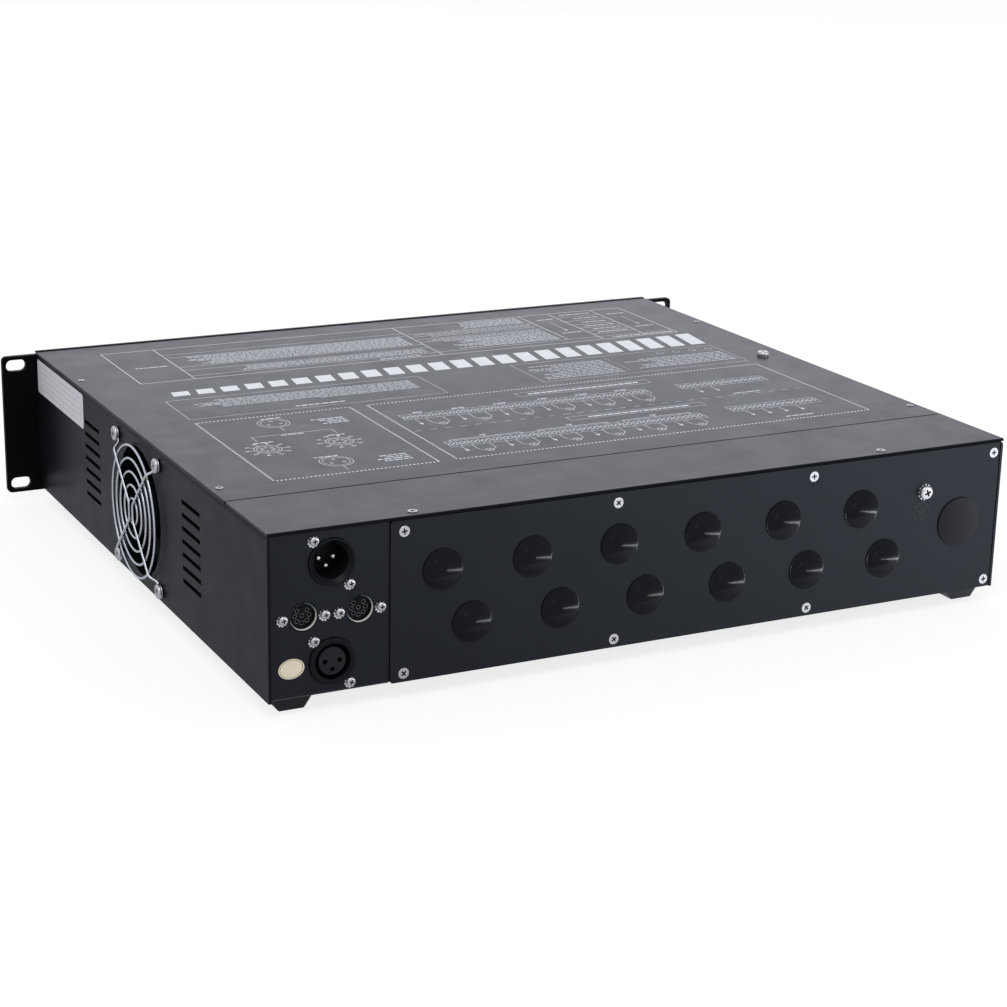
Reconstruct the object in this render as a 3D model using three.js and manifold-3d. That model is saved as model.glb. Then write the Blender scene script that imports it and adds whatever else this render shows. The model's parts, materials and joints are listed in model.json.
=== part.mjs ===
// Twelve-channel dimmer pack in a two-unit 19-inch case, seen in use from its rear.
//
// Frame, in millimetres: +Z is up, +Y is the rear with its sockets and cable
// grommets, -Y is the front panel with its rack ears, and +X is the side with the
// fan. The origin is the middle of the footprint, on the surface it stands on.
// Inside the case group z = 0 is the underside of the case and y = 0 is midway
// between the back of the front panel and the rear edges of the side sheets.

import * as THREE from 'three';
import { mergeVertices } from 'three/addons/utils/BufferGeometryUtils.js';
import Module from 'manifold-3d';

const wasm = await Module();
wasm.setup();

// Clearances
const fitGap = 0.3; // between two pieces that meet without touching
const slideGap = 0.3; // round a button or a lever
const weldDepth = 0.2; // how far two wires or a blade and its hub run into each other
const cutOverrun = 1; // how far a cutter runs past the wall that it cuts
const mergeDistance = 0.0001;

// Case
const sheet = 1.5;
const bendRadius = 1; // inside radius of every fold
const bendSteps = 3;
const caseSize = { width: 440, depth: 401, height: 87.2 };
const halfWidth = caseSize.width / 2;
const coverOverhang = 0.4; // the top cover stands out past the side sheets
const rearY = caseSize.depth / 2;
const frontY = -rearY;
const wall = {
  outer: halfWidth - coverOverhang,
  flange: 14,
  top: caseSize.height - sheet, // the covers lie on the side sheets' top flanges
};
const wallInner = wall.outer - sheet;
const base = { upturn: 10, frontFlange: 12, rearFlange: 12, bendClear: 2.5 };
const connectorPanel = { width: 64.7, setback: 1.2, topGap: 0.6 };
const seamX = wall.outer - connectorPanel.width; // between the connector panel and the gland plate
const panelY = rearY - connectorPanel.setback; // outer face of the connector panel
const cover = { rearStrip: 58.1, seamGap: 0.5, edgeRadius: 0.7 };
const coverRearEdge = rearY - cover.rearStrip;
const lip = { reach: 7, inset: 15.4 };
const rail = { depth: 14, drop: 13 };
const glandPlate = { setback: 0.4, topDrop: 0.5, cornerRadius: 1.5 };
const plateY = rearY - glandPlate.setback; // outer face of the gland plate
const flangeY = plateY - sheet; // face of the flanges that the gland plate is screwed to

// Heights of what lies on the rear and the sides, as shares of the case's height
const heightShares = {
  inlet: 0.786697, control: 0.485092, outlet: 0.197248, upperRow: 0.654817, lowerRow: 0.309633,
  plug: 0.479358, earth: 0.712156, fan: 0.481651, lowestVent: 0.28211, ventPitch: 0.083716,
  display: 0.561927,
};

// Depths of the breakers and of the heat sink, as shares of the case's depth
const depthShares = { breaker: 0.157107, sink: 0.189526 };

// Places and sizes across the front, as shares of the case's width
const widthShares = {
  breaker: 0.04, rowOne: -0.027273, rowTwo: 0.222727, display: -0.336364, displayWidth: 0.140909,
  button: -0.218182, buttonPitch: 0.034091, boardLeft: -0.468182, boardRight: -0.081818,
};

// Distances of the inner and rear pieces from the case's sides, ends and top
const margin = {
  plug: 27.4, earth: 52.4, sinkLeft: 55, sinkRight: 35, powerLeft: 20, powerRight: 82, controlLeft: 74,
  controlRight: 8, controlRear: 34.5, chokeLeft: 58, chokeRight: 100, terminalLeft: 44, terminalRight: 84,
  terminalRear: 24.5, transformer: 34, transformerFront: 48.5, breakerTop: 7.2, displayBoardTop: 11.2,
  digits: 12,
};

// Vents in the side sheets, in a bank on each side of the fan
const vent = {
  count: 7, length: 28.4, width: 2.5, rearOffset: 87.2, frontOffset: 86.8,
  pitch: heightShares.ventPitch * caseSize.height, lowest: heightShares.lowestVent * caseSize.height,
};

// Front panel with the rack ears
const ear = { reach: 21.3, margin: 0.9, slotInset: 8.7, slotEnd: 5.95 };
const rack = {
  width: caseSize.width + 2 * ear.reach, height: caseSize.height + ear.margin,
  thick: 3, drop: 2.35, cornerRadius: 3, slotLength: 12.5, slotWidth: 7.2,
};
const slotX = rack.width / 2 - ear.slotInset;
const slotPitch = rack.height - 2 * ear.slotEnd;
const panelMidZ = rack.height / 2 - rack.drop;
const panelFaceY = frontY - rack.thick;

// Feet
const foot = {
  height: 9, top: 24, topDepth: 14, bottom: 13.4, bottomDepth: 13.4, lid: 2.8,
  insetX: 16.2, insetY: 16.6, corner: 2.5, cornerSteps: 2,
};

// Cable grommets and the large blanking plug
const grommet = {
  count: 6, firstInset: 28.4, pitchShare: 0.134409, staggerShare: 0.330224, hole: 8.3, segments: 12,
  upperZ: heightShares.upperRow * caseSize.height, lowerZ: heightShares.lowerRow * caseSize.height,
  rim: 11, rimHeight: 0.9, step: 6.8, stepHeight: 1.75, cone: 6.5, coneHeight: 2.05, apex: 3.3,
  lipRadius: 9.3, lipThick: 1.2,
};
const plug = {
  x: -halfWidth + margin.plug, z: heightShares.plug * caseSize.height, radius: 14.2, hole: 11.8,
  edge: 0.8, shoulder: 13.4, shoulderHeight: 1.3, crown: 8.5, crownHeight: 2, apex: 2.3,
  lipRadius: 12.6, lipThick: 1.2, segments: 16,
};
const earth = {
  x: -halfWidth + margin.earth, z: heightShares.earth * caseSize.height, washer: 5.9, washerThick: 0.8,
  head: 4.5, crown: 3, headHeight: 3, headEdge: 1.6,
  shank: 2.5, hole: 2.8, nut: 4.6, nutThick: 4, shankOut: 9, segments: 12, nutSides: 6,
};

// Sockets on the connector panel
const socketShare = 0.530139; // of the connector panel's width
const socketX = halfWidth - socketShare * connectorPanel.width;
const xlr = {
  inletZ: heightShares.inlet * caseSize.height, outletZ: heightShares.outlet * caseSize.height,
  ring: 12.2, ringProud: 1.2, ringChamfer: 0.6, hole: 12.6,
  flangeWidth: 25, flangeHeightShare: 0.337156, flangeThick: 2.2, flangeCorner: 3,
  bore: 9.5, boreDepth: 15, bodyRadius: 11.6, bodyDepth: 22, segments: 16,
  pinRadius: 1.2, pinTipDepth: 7.3, pinSpan: 3.9, pinDrop: 4.3, pinSides: 6, pinChamfer: 0.5,
  insertRadius: 7.7, insertDepth: 2.4, grooveDepth: 10, contactDepth: 8, keyWidth: 4.6, keyReach: 1.2,
};
const din = {
  offset: 14.9, z: heightShares.control * caseSize.height, shell: 7.3, shellInner: 6.7, proud: 0.4,
  recess: 3, depth: 13, hole: 7.7,
  flangeLength: 29, flangeWidth: 15.4, flangeThick: 1, contact: 0.75, contactRing: 3.4, contactDepth: 4,
  contacts: 7, contactStep: Math.PI / 4, contactSides: 4, segments: 16,
};

// Fan, its guard and the opening in the side sheet
const fanHeadroom = 7.2; // what the fan leaves of the case's height
const fanSize = caseSize.height - fanHeadroom;
const fanShares = {
  bore: 0.475, opening: 0.4625, tube: 0.495, screwPitch: 0.89375, seat: 0.2125, hub: 0.20625,
  hubTop: 0.185, tip: 0.46, rootChord: 0.1875, tipChord: 0.25, firstRing: 0.09375, ringPitch: 0.093125,
};
const fan = {
  y: 2.8, z: heightShares.fan * caseSize.height, size: fanSize, depth: 25, bore: fanShares.bore * fanSize,
  opening: fanShares.opening * fanSize, corner: 4, screwPitch: fanShares.screwPitch * fanSize,
  screwHole: 2.2, holeSides: 6, lid: 4, tube: fanShares.tube * fanSize, seat: fanShares.seat * fanSize,
  seatThick: 3, strutWidth: 5, struts: 4, segments: 24,
};
const rotor = {
  hub: fanShares.hub * fanSize, hubTop: fanShares.hubTop * fanSize, capHeight: 2, frontGap: 2.4, backGap: 1,
  tip: fanShares.tip * fanSize, blades: 7, rootAngle: 0.9, tipAngle: 0.5,
  rootChord: fanShares.rootChord * fanSize, tipChord: fanShares.tipChord * fanSize, thick: 1.4, camber: 2,
  shaft: 1.5, shaftLength: 3, sections: 3, segments: 16,
};
const guard = {
  wire: 0.75, firstRing: fanShares.firstRing * fanSize, ringPitch: fanShares.ringPitch * fanSize, rings: 5,
  standOff: 3.4, loop: 3.1, legFlat: 6, legRise: 10,
  weld: 0.5, waist: 3, waistHalf: 4.8, sides: 4, loopSteps: 9, ringStepBase: 12, ringStepGrowth: 4,
  legSteps: 28,
};

// Heat sink and the boards on the floor of the case
const heatSink = {
  left: -halfWidth + margin.sinkLeft, right: halfWidth - margin.sinkRight,
  behindFan: 5.5, base: 6, height: 58, fins: 12, finThick: 2,
};
const sinkHalf = depthShares.sink * caseSize.depth / 2;
const sinkY = fan.y + heatSink.behindFan;
// From each board to its neighbours
const boardGap = { rear: 9.7, front: 2.3, rail: 8.2, terminals: 16, control: 2 };
const board = { thick: 1.6, floorGap: 8, post: 3, postSides: 6 };
const terminals = {
  left: -halfWidth + margin.terminalLeft, right: halfWidth - margin.terminalRight,
  far: rearY - margin.terminalRear, depth: 26, height: 24, step: 14, stepHeight: 15, poles: 12,
  well: 3.2, wellDepth: 6, wellSides: 6,
};
const terminalsNear = terminals.far - terminals.depth;
const powerBoard = {
  left: -halfWidth + margin.powerLeft, right: halfWidth - margin.powerRight,
  near: sinkY + sinkHalf + boardGap.rear,
  far: terminalsNear - boardGap.terminals, channels: 12, firstInset: 24, pitchShare: 0.076923,
  switchWidth: 10, switchDepth: 4.5, switchHeight: 15, switchInset: 3,
  capacitors: 6, capWidth: 26, capDepth: 11, capHeight: 14, capSetback: 3, postInset: 6,
};
const controlBoard = {
  left: halfWidth - margin.controlLeft, right: halfWidth - margin.controlRight,
  near: powerBoard.near + boardGap.control, far: rearY - margin.controlRear, postInset: 5,
  chipWidth: 10, chipLength: 36, chipHeight: 5, chipInset: 14, relaySize: 16, relayHeight: 15,
};
const transformer = {
  x: -halfWidth + margin.transformer, y: frontY + margin.transformerFront,
  coreWidth: 40, coreHeight: 34, coreDepth: 16, window: 6,
  coil: 30, coilHeight: 20, coilCorner: 5,
};

// Circuit breakers behind two windows of the front panel
const breaker = {
  width: widthShares.breaker * caseSize.width, perRow: 6,
  rowStarts: [widthShares.rowOne * caseSize.width, widthShares.rowTwo * caseSize.width],
  noseProud: 1.5, noseHeight: 45, shoulderGap: sheet + fitGap,
  bodyHeight: caseSize.height - margin.breakerTop, bodyDepth: depthShares.breaker * caseSize.depth,
  chamfer: 6, groove: 0.5, grooveDepth: 0.8, midZ: caseSize.height / 2,
};
const leverShare = 0.511364; // of a breaker's width
const lever = {
  width: leverShare * breaker.width, hub: 6.5, pivotDepth: 3, reach: 14.5, root: 4.5, tip: 3.4,
  lift: 35 * Math.PI / 180,
  segments: 10, tipSteps: 2,
};
const dinRail = { height: 35, brim: 4, depth: 7.5, thick: 1.2, overhang: 6, legWidth: 12, footDepth: 14 };
const breakerBackY = frontY + breaker.shoulderGap + breaker.bodyDepth;
const railBackY = breakerBackY + dinRail.depth;

// Suppression chokes, in two rows between the breakers' rail and the heat sink
const choke = {
  innerShare: 0.45, height: 17, corner: 3.5, perRow: 6, pitchShare: 0.163121, rowShare: 0.488636, gap: 1.5,
  segments: 10, boardLeft: -halfWidth + margin.chokeLeft, boardRight: halfWidth - margin.chokeRight,
  boardNear: railBackY + boardGap.rail, boardFar: sinkY - sinkHalf - boardGap.front,
};

// Menu display and buttons
const displayWidth = widthShares.displayWidth * caseSize.width;
const controlsZ = heightShares.display * caseSize.height;
const display = {
  x: widthShares.display * caseSize.width, z: controlsZ, width: displayWidth, height: 22, corner: 1.5,
  flange: 2.4, flangeThick: 1, moduleWidth: displayWidth - margin.digits, moduleHeight: 19, moduleGap: 0.6,
  digits: 4, digitGap: 1.2, digitDepth: 0.8,
};
const displayBoard = {
  left: widthShares.boardLeft * caseSize.width, right: widthShares.boardRight * caseSize.width,
  bottom: 12, top: caseSize.height - margin.displayBoardTop, standOff: 12, postInset: 8,
};
const button = {
  firstX: widthShares.button * caseSize.width, pitch: widthShares.buttonPitch * caseSize.width, count: 4,
  z: controlsZ, radius: 4.2, proud: 2.4, flange: 5.6, flangeThick: 1,
  stem: 2.4, length: 9.7, travel: 1.2, dish: 0.5, edge: 0.6, segments: 12, switchSize: 6, switchRest: 0.3,
};

// The middle of the overall length sits at y = 0
const frontReach = rack.thick + breaker.noseProud + lever.reach * Math.cos(lever.lift) - lever.pivotDepth
  + (lever.tip / 2) * (1 - Math.cos(lever.lift));
const rearReach = earth.washerThick + earth.headHeight - glandPlate.setback;
const caseShift = (frontReach - rearReach) / 2;

// Finishes
const finish = {
  caseBlack: new THREE.MeshStandardMaterial({ color: 0x26282c, roughness: 0.55, metalness: 0.1 }),
  panelBlack: new THREE.MeshStandardMaterial({ color: 0x121315, roughness: 0.5, metalness: 0.1 }),
  rubber: new THREE.MeshStandardMaterial({ color: 0x1b1c1f, roughness: 0.45, metalness: 0 }),
  plastic: new THREE.MeshStandardMaterial({ color: 0x141518, roughness: 0.5, metalness: 0 }),
  chrome: new THREE.MeshStandardMaterial({ color: 0xd9dce0, roughness: 0.15, metalness: 1 }),
  aluminium: new THREE.MeshStandardMaterial({ color: 0xb9bcc0, roughness: 0.4, metalness: 0.9 }),
  laminate: new THREE.MeshStandardMaterial({ color: 0x1f5a36, roughness: 0.6, metalness: 0 }),
  copper: new THREE.MeshStandardMaterial({ color: 0xa4582a, roughness: 0.35, metalness: 0.6 }),
  terminalGreen: new THREE.MeshStandardMaterial({ color: 0x2f7d4a, roughness: 0.5, metalness: 0 }),
  breakerGrey: new THREE.MeshStandardMaterial({ color: 0xc9cbc8, roughness: 0.5, metalness: 0 }),
  smokedWindow: new THREE.MeshStandardMaterial({ color: 0x5a1210, roughness: 0.1, metalness: 0 }),
};

// Solid operations: closed meshes are joined and cut as manifolds

function bare(geometry) {
  const copy = geometry.clone();
  for (const name of Object.keys(copy.attributes)) {
    if (name !== 'position') copy.deleteAttribute(name);
  }
  return mergeVertices(copy, mergeDistance);
}

function signedVolume(positions, faces) {
  const a = new THREE.Vector3();
  const b = new THREE.Vector3();
  const c = new THREE.Vector3();
  let sum = 0;
  for (let i = 0; i < faces.length; i += 3) {
    a.fromArray(positions, faces[i] * 3);
    b.fromArray(positions, faces[i + 1] * 3);
    c.fromArray(positions, faces[i + 2] * 3);
    sum += a.dot(b.cross(c));
  }
  return sum;
}

function solid(geometry) {
  const merged = bare(geometry);
  const positions = merged.getAttribute('position').array;
  const faces = [];
  const index = merged.index.array;
  for (let i = 0; i < index.length; i += 3) {
    const [p, q, r] = [index[i], index[i + 1], index[i + 2]];
    if (p !== q && q !== r && r !== p) faces.push(p, q, r);
  }
  if (signedVolume(positions, faces) < 0) faces.reverse();
  const mesh = new wasm.Mesh({
    numProp: 3,
    vertProperties: new Float32Array(positions),
    triVerts: new Uint32Array(faces),
  });
  return new wasm.Manifold(mesh);
}

function join(...solids) {
  return solids.reduce((sum, next) => sum.add(next));
}

function cut(body, ...tools) {
  return tools.reduce((rest, tool) => rest.subtract(tool), body);
}

function geometryOf(body) {
  const mesh = body.getMesh();
  const geometry = new THREE.BufferGeometry();
  geometry.setAttribute('position', new THREE.BufferAttribute(new Float32Array(mesh.vertProperties), 3));
  geometry.setIndex(new THREE.BufferAttribute(new Uint32Array(mesh.triVerts), 1));
  geometry.computeVertexNormals();
  return geometry;
}

// Extrusions along each axis. A shape for X is drawn in (y, z), for Y in (x, z), for Z in (x, y).

const towardsX = new THREE.Matrix4().makeBasis(
  new THREE.Vector3(0, 1, 0), new THREE.Vector3(0, 0, 1), new THREE.Vector3(1, 0, 0));
const towardsY = new THREE.Matrix4().makeBasis(
  new THREE.Vector3(1, 0, 0), new THREE.Vector3(0, 0, 1), new THREE.Vector3(0, -1, 0));

function extrudeZ(shape, from, to, curveSegments = bendSteps) {
  const options = { depth: to - from, bevelEnabled: false, curveSegments };
  const geometry = new THREE.ExtrudeGeometry(shape, options);
  return geometry.translate(0, 0, from);
}

function extrudeX(shape, from, to, curveSegments = bendSteps) {
  return extrudeZ(shape, from, to, curveSegments).applyMatrix4(towardsX);
}

function extrudeY(shape, from, to, curveSegments = bendSteps) {
  return extrudeZ(shape, -to, -from, curveSegments).applyMatrix4(towardsY);
}

function box(x, y, z) {
  const geometry = new THREE.BoxGeometry(x[1] - x[0], y[1] - y[0], z[1] - z[0]);
  return geometry.translate((x[0] + x[1]) / 2, (y[0] + y[1]) / 2, (z[0] + z[1]) / 2);
}

function rectangle(left, right, bottom, top, radius = 0) {
  const shape = new THREE.Shape();
  if (radius === 0) {
    shape.moveTo(left, bottom);
    shape.lineTo(right, bottom);
    shape.lineTo(right, top);
    shape.lineTo(left, top);
    shape.closePath();
    return shape;
  }
  const quarter = Math.PI / 2;
  shape.absarc(right - radius, bottom + radius, radius, -quarter, 0);
  shape.absarc(right - radius, top - radius, radius, 0, quarter);
  shape.absarc(left + radius, top - radius, radius, quarter, Math.PI);
  shape.absarc(left + radius, bottom + radius, radius, Math.PI, Math.PI + quarter);
  return shape;
}

function polygon(points) {
  return new THREE.Shape(points.map(([u, v]) => new THREE.Vector2(u, v)));
}

// A revolved body about the Y axis. Each point is (radius, y), from one end of the axis to the other.
function revolve(points, segments) {
  return new THREE.LatheGeometry(points.map(([r, y]) => new THREE.Vector2(r, y)), segments);
}

function rod(radius, from, to, segments) {
  return revolve([[0, from], [radius, from], [radius, to], [0, to]], segments);
}

function alongX(geometry) {
  return geometry.rotateZ(-Math.PI / 2);
}

function alongZ(geometry) {
  return geometry.rotateX(Math.PI / 2);
}

// The section of a folded sheet: a path of right-angle turns through the middle of
// the metal, with every fold rounded to the bend radius.
function foldedSection(path, thickness = sheet, inside = bendRadius) {
  const points = path.map(([u, v]) => new THREE.Vector2(u, v));
  const middle = inside + thickness / 2;
  const side = (offset) => {
    const line = [];
    points.forEach((point, i) => {
      const before = i > 0 ? point.clone().sub(points[i - 1]).normalize() : null;
      const after = i < points.length - 1 ? points[i + 1].clone().sub(point).normalize() : null;
      const along = before ?? after;
      const normal = new THREE.Vector2(-along.y, along.x);
      if (!before || !after) {
        line.push(point.clone().addScaledVector(normal, offset));
        return;
      }
      const turn = Math.sign(before.x * after.y - before.y * after.x);
      const centre = point.clone().addScaledVector(before, -middle).addScaledVector(after, middle);
      const radius = middle - turn * offset;
      for (let step = 0; step <= bendSteps; step += 1) {
        const angle = (Math.PI / 2) * (step / bendSteps);
        line.push(centre.clone().addScaledVector(after, -radius * Math.cos(angle))
          .addScaledVector(before, radius * Math.sin(angle)));
      }
    });
    return line;
  };
  return new THREE.Shape([...side(-thickness / 2), ...side(thickness / 2).reverse()]);
}

// A body through closed sections of equal point counts, with a flat lid at each end
function loft(sections) {
  const count = sections[0].length;
  const positions = sections.flat().flatMap((point) => point.toArray());
  const faces = [];
  for (let s = 0; s + 1 < sections.length; s += 1) {
    for (let i = 0; i < count; i += 1) {
      const a = s * count + i;
      const b = s * count + (i + 1) % count;
      faces.push(a, b, b + count, a, b + count, a + count);
    }
  }
  const last = (sections.length - 1) * count;
  for (let i = 1; i + 1 < count; i += 1) {
    faces.push(0, i + 1, i);
    faces.push(last, last + i, last + i + 1);
  }
  const geometry = new THREE.BufferGeometry();
  geometry.setAttribute('position', new THREE.Float32BufferAttribute(positions, 3));
  geometry.setIndex(faces);
  return geometry;
}

// Parts are added to the case group by name
const pack = new THREE.Group();
const caseGroup = new THREE.Group();
caseGroup.position.set(0, caseShift, foot.height);
pack.add(caseGroup);

function addPart(name, body, material, x = 0, y = 0, z = 0, parent = caseGroup) {
  const mesh = new THREE.Mesh(geometryOf(body), material);
  mesh.name = name;
  mesh.position.set(x, y, z);
  parent.add(mesh);
  return mesh;
}

// Base tray: floor, side upturns, front flange, connector panel and the flange under the gland plate

function baseTray() {
  const half = wallInner;
  const middle = sheet / 2;
  const floorRear = flangeY;
  const trough = foldedSection([
    [-half + middle, base.upturn], [-half + middle, middle],
    [half - middle, middle], [half - middle, base.upturn],
  ]);
  const floor = solid(extrudeY(trough, frontY + base.bendClear, floorRear - base.bendClear));
  const frontFold = foldedSection([
    [0, middle], [frontY + middle, middle], [frontY + middle, base.frontFlange],
  ]);
  const front = solid(extrudeX(frontFold, -half + base.bendClear, half - base.bendClear));
  const rearFold = foldedSection([
    [0, middle], [floorRear - middle, middle], [floorRear - middle, base.rearFlange],
  ]);
  const rear = solid(extrudeX(rearFold, -half + base.bendClear, seamX));
  const connectorFold = foldedSection([
    [0, middle], [panelY - middle, middle], [panelY - middle, wall.top - connectorPanel.topGap],
  ]);
  const connector = solid(extrudeX(connectorFold, seamX + fitGap, half - fitGap));
  const fanNotch = solid(box(
    [half - sheet - cutOverrun, half + cutOverrun],
    [fan.y - fan.size / 2 - fitGap, fan.y + fan.size / 2 + fitGap],
    [sheet, base.upturn + cutOverrun],
  ));
  const holeSpan = [panelY - sheet - cutOverrun, panelY + cutOverrun];
  const xlrHole = rod(xlr.hole, ...holeSpan, xlr.segments);
  const dinHole = rod(din.hole, ...holeSpan, din.segments);
  const holes = [
    solid(xlrHole.clone().translate(socketX, 0, xlr.inletZ)),
    solid(xlrHole.clone().translate(socketX, 0, xlr.outletZ)),
    solid(dinHole.clone().translate(socketX + din.offset, 0, din.z)),
    solid(dinHole.clone().translate(socketX - din.offset, 0, din.z)),
  ];
  return cut(join(floor, front, rear, connector), fanNotch, ...holes);
}

// Side sheets: a wall with an inward flange under the covers, and two banks of vents

function sideSheet(withFan) {
  const middle = sheet / 2;
  const section = foldedSection([
    [wall.outer - middle, 0],
    [wall.outer - middle, wall.top - middle],
    [wall.outer - wall.flange, wall.top - middle],
  ]);
  const body = solid(extrudeY(section, frontY, rearY));
  const flangeEnd = panelY - sheet - fitGap; // the flange stops short of the rear panels
  const tools = [solid(box(
    [wall.outer - wall.flange - cutOverrun, wallInner],
    [flangeEnd, rearY + cutOverrun],
    [wall.top - sheet - bendRadius, wall.top + cutOverrun],
  ))];
  for (const bankY of [fan.y + vent.rearOffset, fan.y - vent.frontOffset]) {
    for (let i = 0; i < vent.count; i += 1) {
      const z = vent.lowest + i * vent.pitch;
      tools.push(solid(box(
        [wallInner - cutOverrun, wall.outer + cutOverrun],
        [bankY - vent.length / 2, bankY + vent.length / 2],
        [z - vent.width / 2, z + vent.width / 2],
      )));
    }
  }
  if (withFan) {
    const span = [wallInner - cutOverrun, wall.outer + cutOverrun];
    tools.push(solid(alongX(rod(fan.opening, ...span, fan.segments)).translate(0, fan.y, fan.z)));
  }
  return cut(body, ...tools);
}

// Top cover and rear cover: sheets with softened outer edges. The rear cover's
// joggled lip runs on below the top cover.

function topCover() {
  const under = wall.top;
  const top = caseSize.height;
  const r = cover.edgeRadius;
  const section = new THREE.Shape();
  section.moveTo(-halfWidth, under);
  section.lineTo(halfWidth, under);
  section.lineTo(halfWidth, top - r);
  section.absarc(halfWidth - r, top - r, r, 0, Math.PI / 2);
  section.lineTo(-halfWidth + r, top);
  section.absarc(-halfWidth + r, top - r, r, Math.PI / 2, Math.PI);
  section.closePath();
  return solid(extrudeY(section, frontY, coverRearEdge));
}

function rearCover() {
  const under = wall.top;
  const top = caseSize.height;
  const r = cover.edgeRadius;
  const frontEdge = coverRearEdge + cover.seamGap;
  const section = new THREE.Shape();
  section.moveTo(frontEdge, under);
  section.lineTo(rearY, under);
  section.lineTo(rearY, top - r);
  section.absarc(rearY - r, top - r, r, 0, Math.PI / 2);
  section.lineTo(frontEdge, top);
  section.closePath();
  const strip = solid(extrudeX(section, -wall.outer, wall.outer));
  const joggle = polygon([
    [frontEdge + sheet, under + weldDepth], [frontEdge + sheet, under - sheet],
    [frontEdge - lip.reach, under - sheet], [frontEdge - lip.reach, under - fitGap],
    [frontEdge, under - fitGap], [frontEdge, under + weldDepth],
  ]);
  const lipHalf = wall.outer - lip.inset;
  return join(strip, solid(extrudeX(joggle, -lipHalf, lipHalf)));
}

// Rear rail: the angle that carries the rear cover's screws and the gland plate's upper screws

function rearRail() {
  const middle = sheet / 2;
  const top = wall.top - sheet - fitGap;
  const section = foldedSection([
    [flangeY - middle - rail.depth, top - middle], [flangeY - middle, top - middle],
    [flangeY - middle, top - rail.drop],
  ]);
  const left = -wallInner + bendRadius + fitGap; // clear of the fold inside the side sheet
  return solid(extrudeX(section, left, seamX - fitGap));
}

// Gland plate, with two staggered rows of grommet holes and one for the large plug

function grommetCentres() {
  const pitch = grommet.pitchShare * (halfWidth + seamX);
  const stagger = grommet.staggerShare * pitch;
  const centres = [];
  for (const [row, z] of [grommet.upperZ, grommet.lowerZ].entries()) {
    for (let i = 0; i < grommet.count; i += 1) {
      centres.push([seamX - grommet.firstInset - row * stagger - i * pitch, z]);
    }
  }
  return centres;
}

function glandPlateBody() {
  const outline = rectangle(
    -wallInner + fitGap, seamX,
    fitGap, wall.top - glandPlate.topDrop, glandPlate.cornerRadius);
  const plate = solid(extrudeY(outline, flangeY, plateY));
  const span = [flangeY - cutOverrun, plateY + cutOverrun];
  const hole = rod(grommet.hole, ...span, grommet.segments);
  const tools = grommetCentres().map(([x, z]) => solid(hole.clone().translate(x, 0, z)));
  tools.push(solid(rod(plug.hole, ...span, plug.segments).translate(plug.x, 0, plug.z)));
  tools.push(solid(rod(earth.hole, ...span, earth.segments).translate(earth.x, 0, earth.z)));
  return cut(plate, ...tools);
}

// Front panel: the rack ears with their slots, and the windows for display, buttons and breakers

function frontPanel() {
  const outline = rectangle(
    -rack.width / 2, rack.width / 2, -rack.drop, rack.height - rack.drop, rack.cornerRadius);
  const plate = solid(extrudeY(outline, panelFaceY, frontY));
  const span = [panelFaceY - cutOverrun, frontY + cutOverrun];
  const tools = [];
  for (const x of [-slotX, slotX]) {
    for (const z of [panelMidZ - slotPitch / 2, panelMidZ + slotPitch / 2]) {
      const slot = rectangle(
        x - rack.slotLength / 2, x + rack.slotLength / 2,
        z - rack.slotWidth / 2, z + rack.slotWidth / 2, rack.slotWidth / 2 - weldDepth);
      tools.push(solid(extrudeY(slot, ...span)));
    }
  }
  for (const start of breaker.rowStarts) {
    const windowShape = rectangle(
      start - fitGap, start + breaker.width * breaker.perRow + fitGap,
      breaker.midZ - breaker.noseHeight / 2 - fitGap, breaker.midZ + breaker.noseHeight / 2 + fitGap);
    tools.push(solid(extrudeY(windowShape, ...span)));
  }
  const view = rectangle(
    display.x - display.width / 2, display.x + display.width / 2,
    display.z - display.height / 2, display.z + display.height / 2, display.corner);
  tools.push(solid(extrudeY(view, ...span)));
  for (let i = 0; i < button.count; i += 1) {
    const bore = rod(button.radius + slideGap, ...span, button.segments);
    tools.push(solid(bore.translate(button.firstX + i * button.pitch, 0, button.z)));
  }
  return cut(plate, ...tools);
}

// Foot: a square moulding that tapers to its tread

function footOutline(width, depth, z) {
  const outline = rectangle(-width / 2, width / 2, -depth / 2, depth / 2, foot.corner);
  return outline.extractPoints(foot.cornerSteps).shape.map((p) => new THREE.Vector3(p.x, p.y, z));
}

function footBody() {
  const levels = [
    [foot.bottom, foot.bottomDepth, -foot.height],
    [foot.top, foot.topDepth, -foot.lid],
    [foot.top, foot.topDepth, 0],
  ];
  return solid(bare(loft(levels.map((level) => footOutline(...level)))));
}

// Cable grommet: a shallow stepped cone on a round flange, with a lip behind the plate

function grommetBody() {
  const g = grommet;
  const neck = g.hole - fitGap;
  const back = -sheet - fitGap;
  return solid(revolve([
    [0, g.apex], [g.cone, g.coneHeight], [g.step, g.stepHeight],
    [g.rim, g.rimHeight], [g.rim, 0], [neck, 0], [neck, back],
    [g.lipRadius, back], [neck, back - g.lipThick], [0, back - g.lipThick],
  ], g.segments));
}

function plugBody() {
  const neck = plug.hole - fitGap;
  const back = -sheet - fitGap;
  return solid(revolve([
    [0, plug.apex], [plug.crown, plug.crownHeight], [plug.shoulder, plug.shoulderHeight],
    [plug.radius, plug.edge], [plug.radius, 0], [neck, 0], [neck, back],
    [plug.lipRadius, back], [neck, back - plug.lipThick], [0, back - plug.lipThick],
  ], plug.segments));
}

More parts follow.
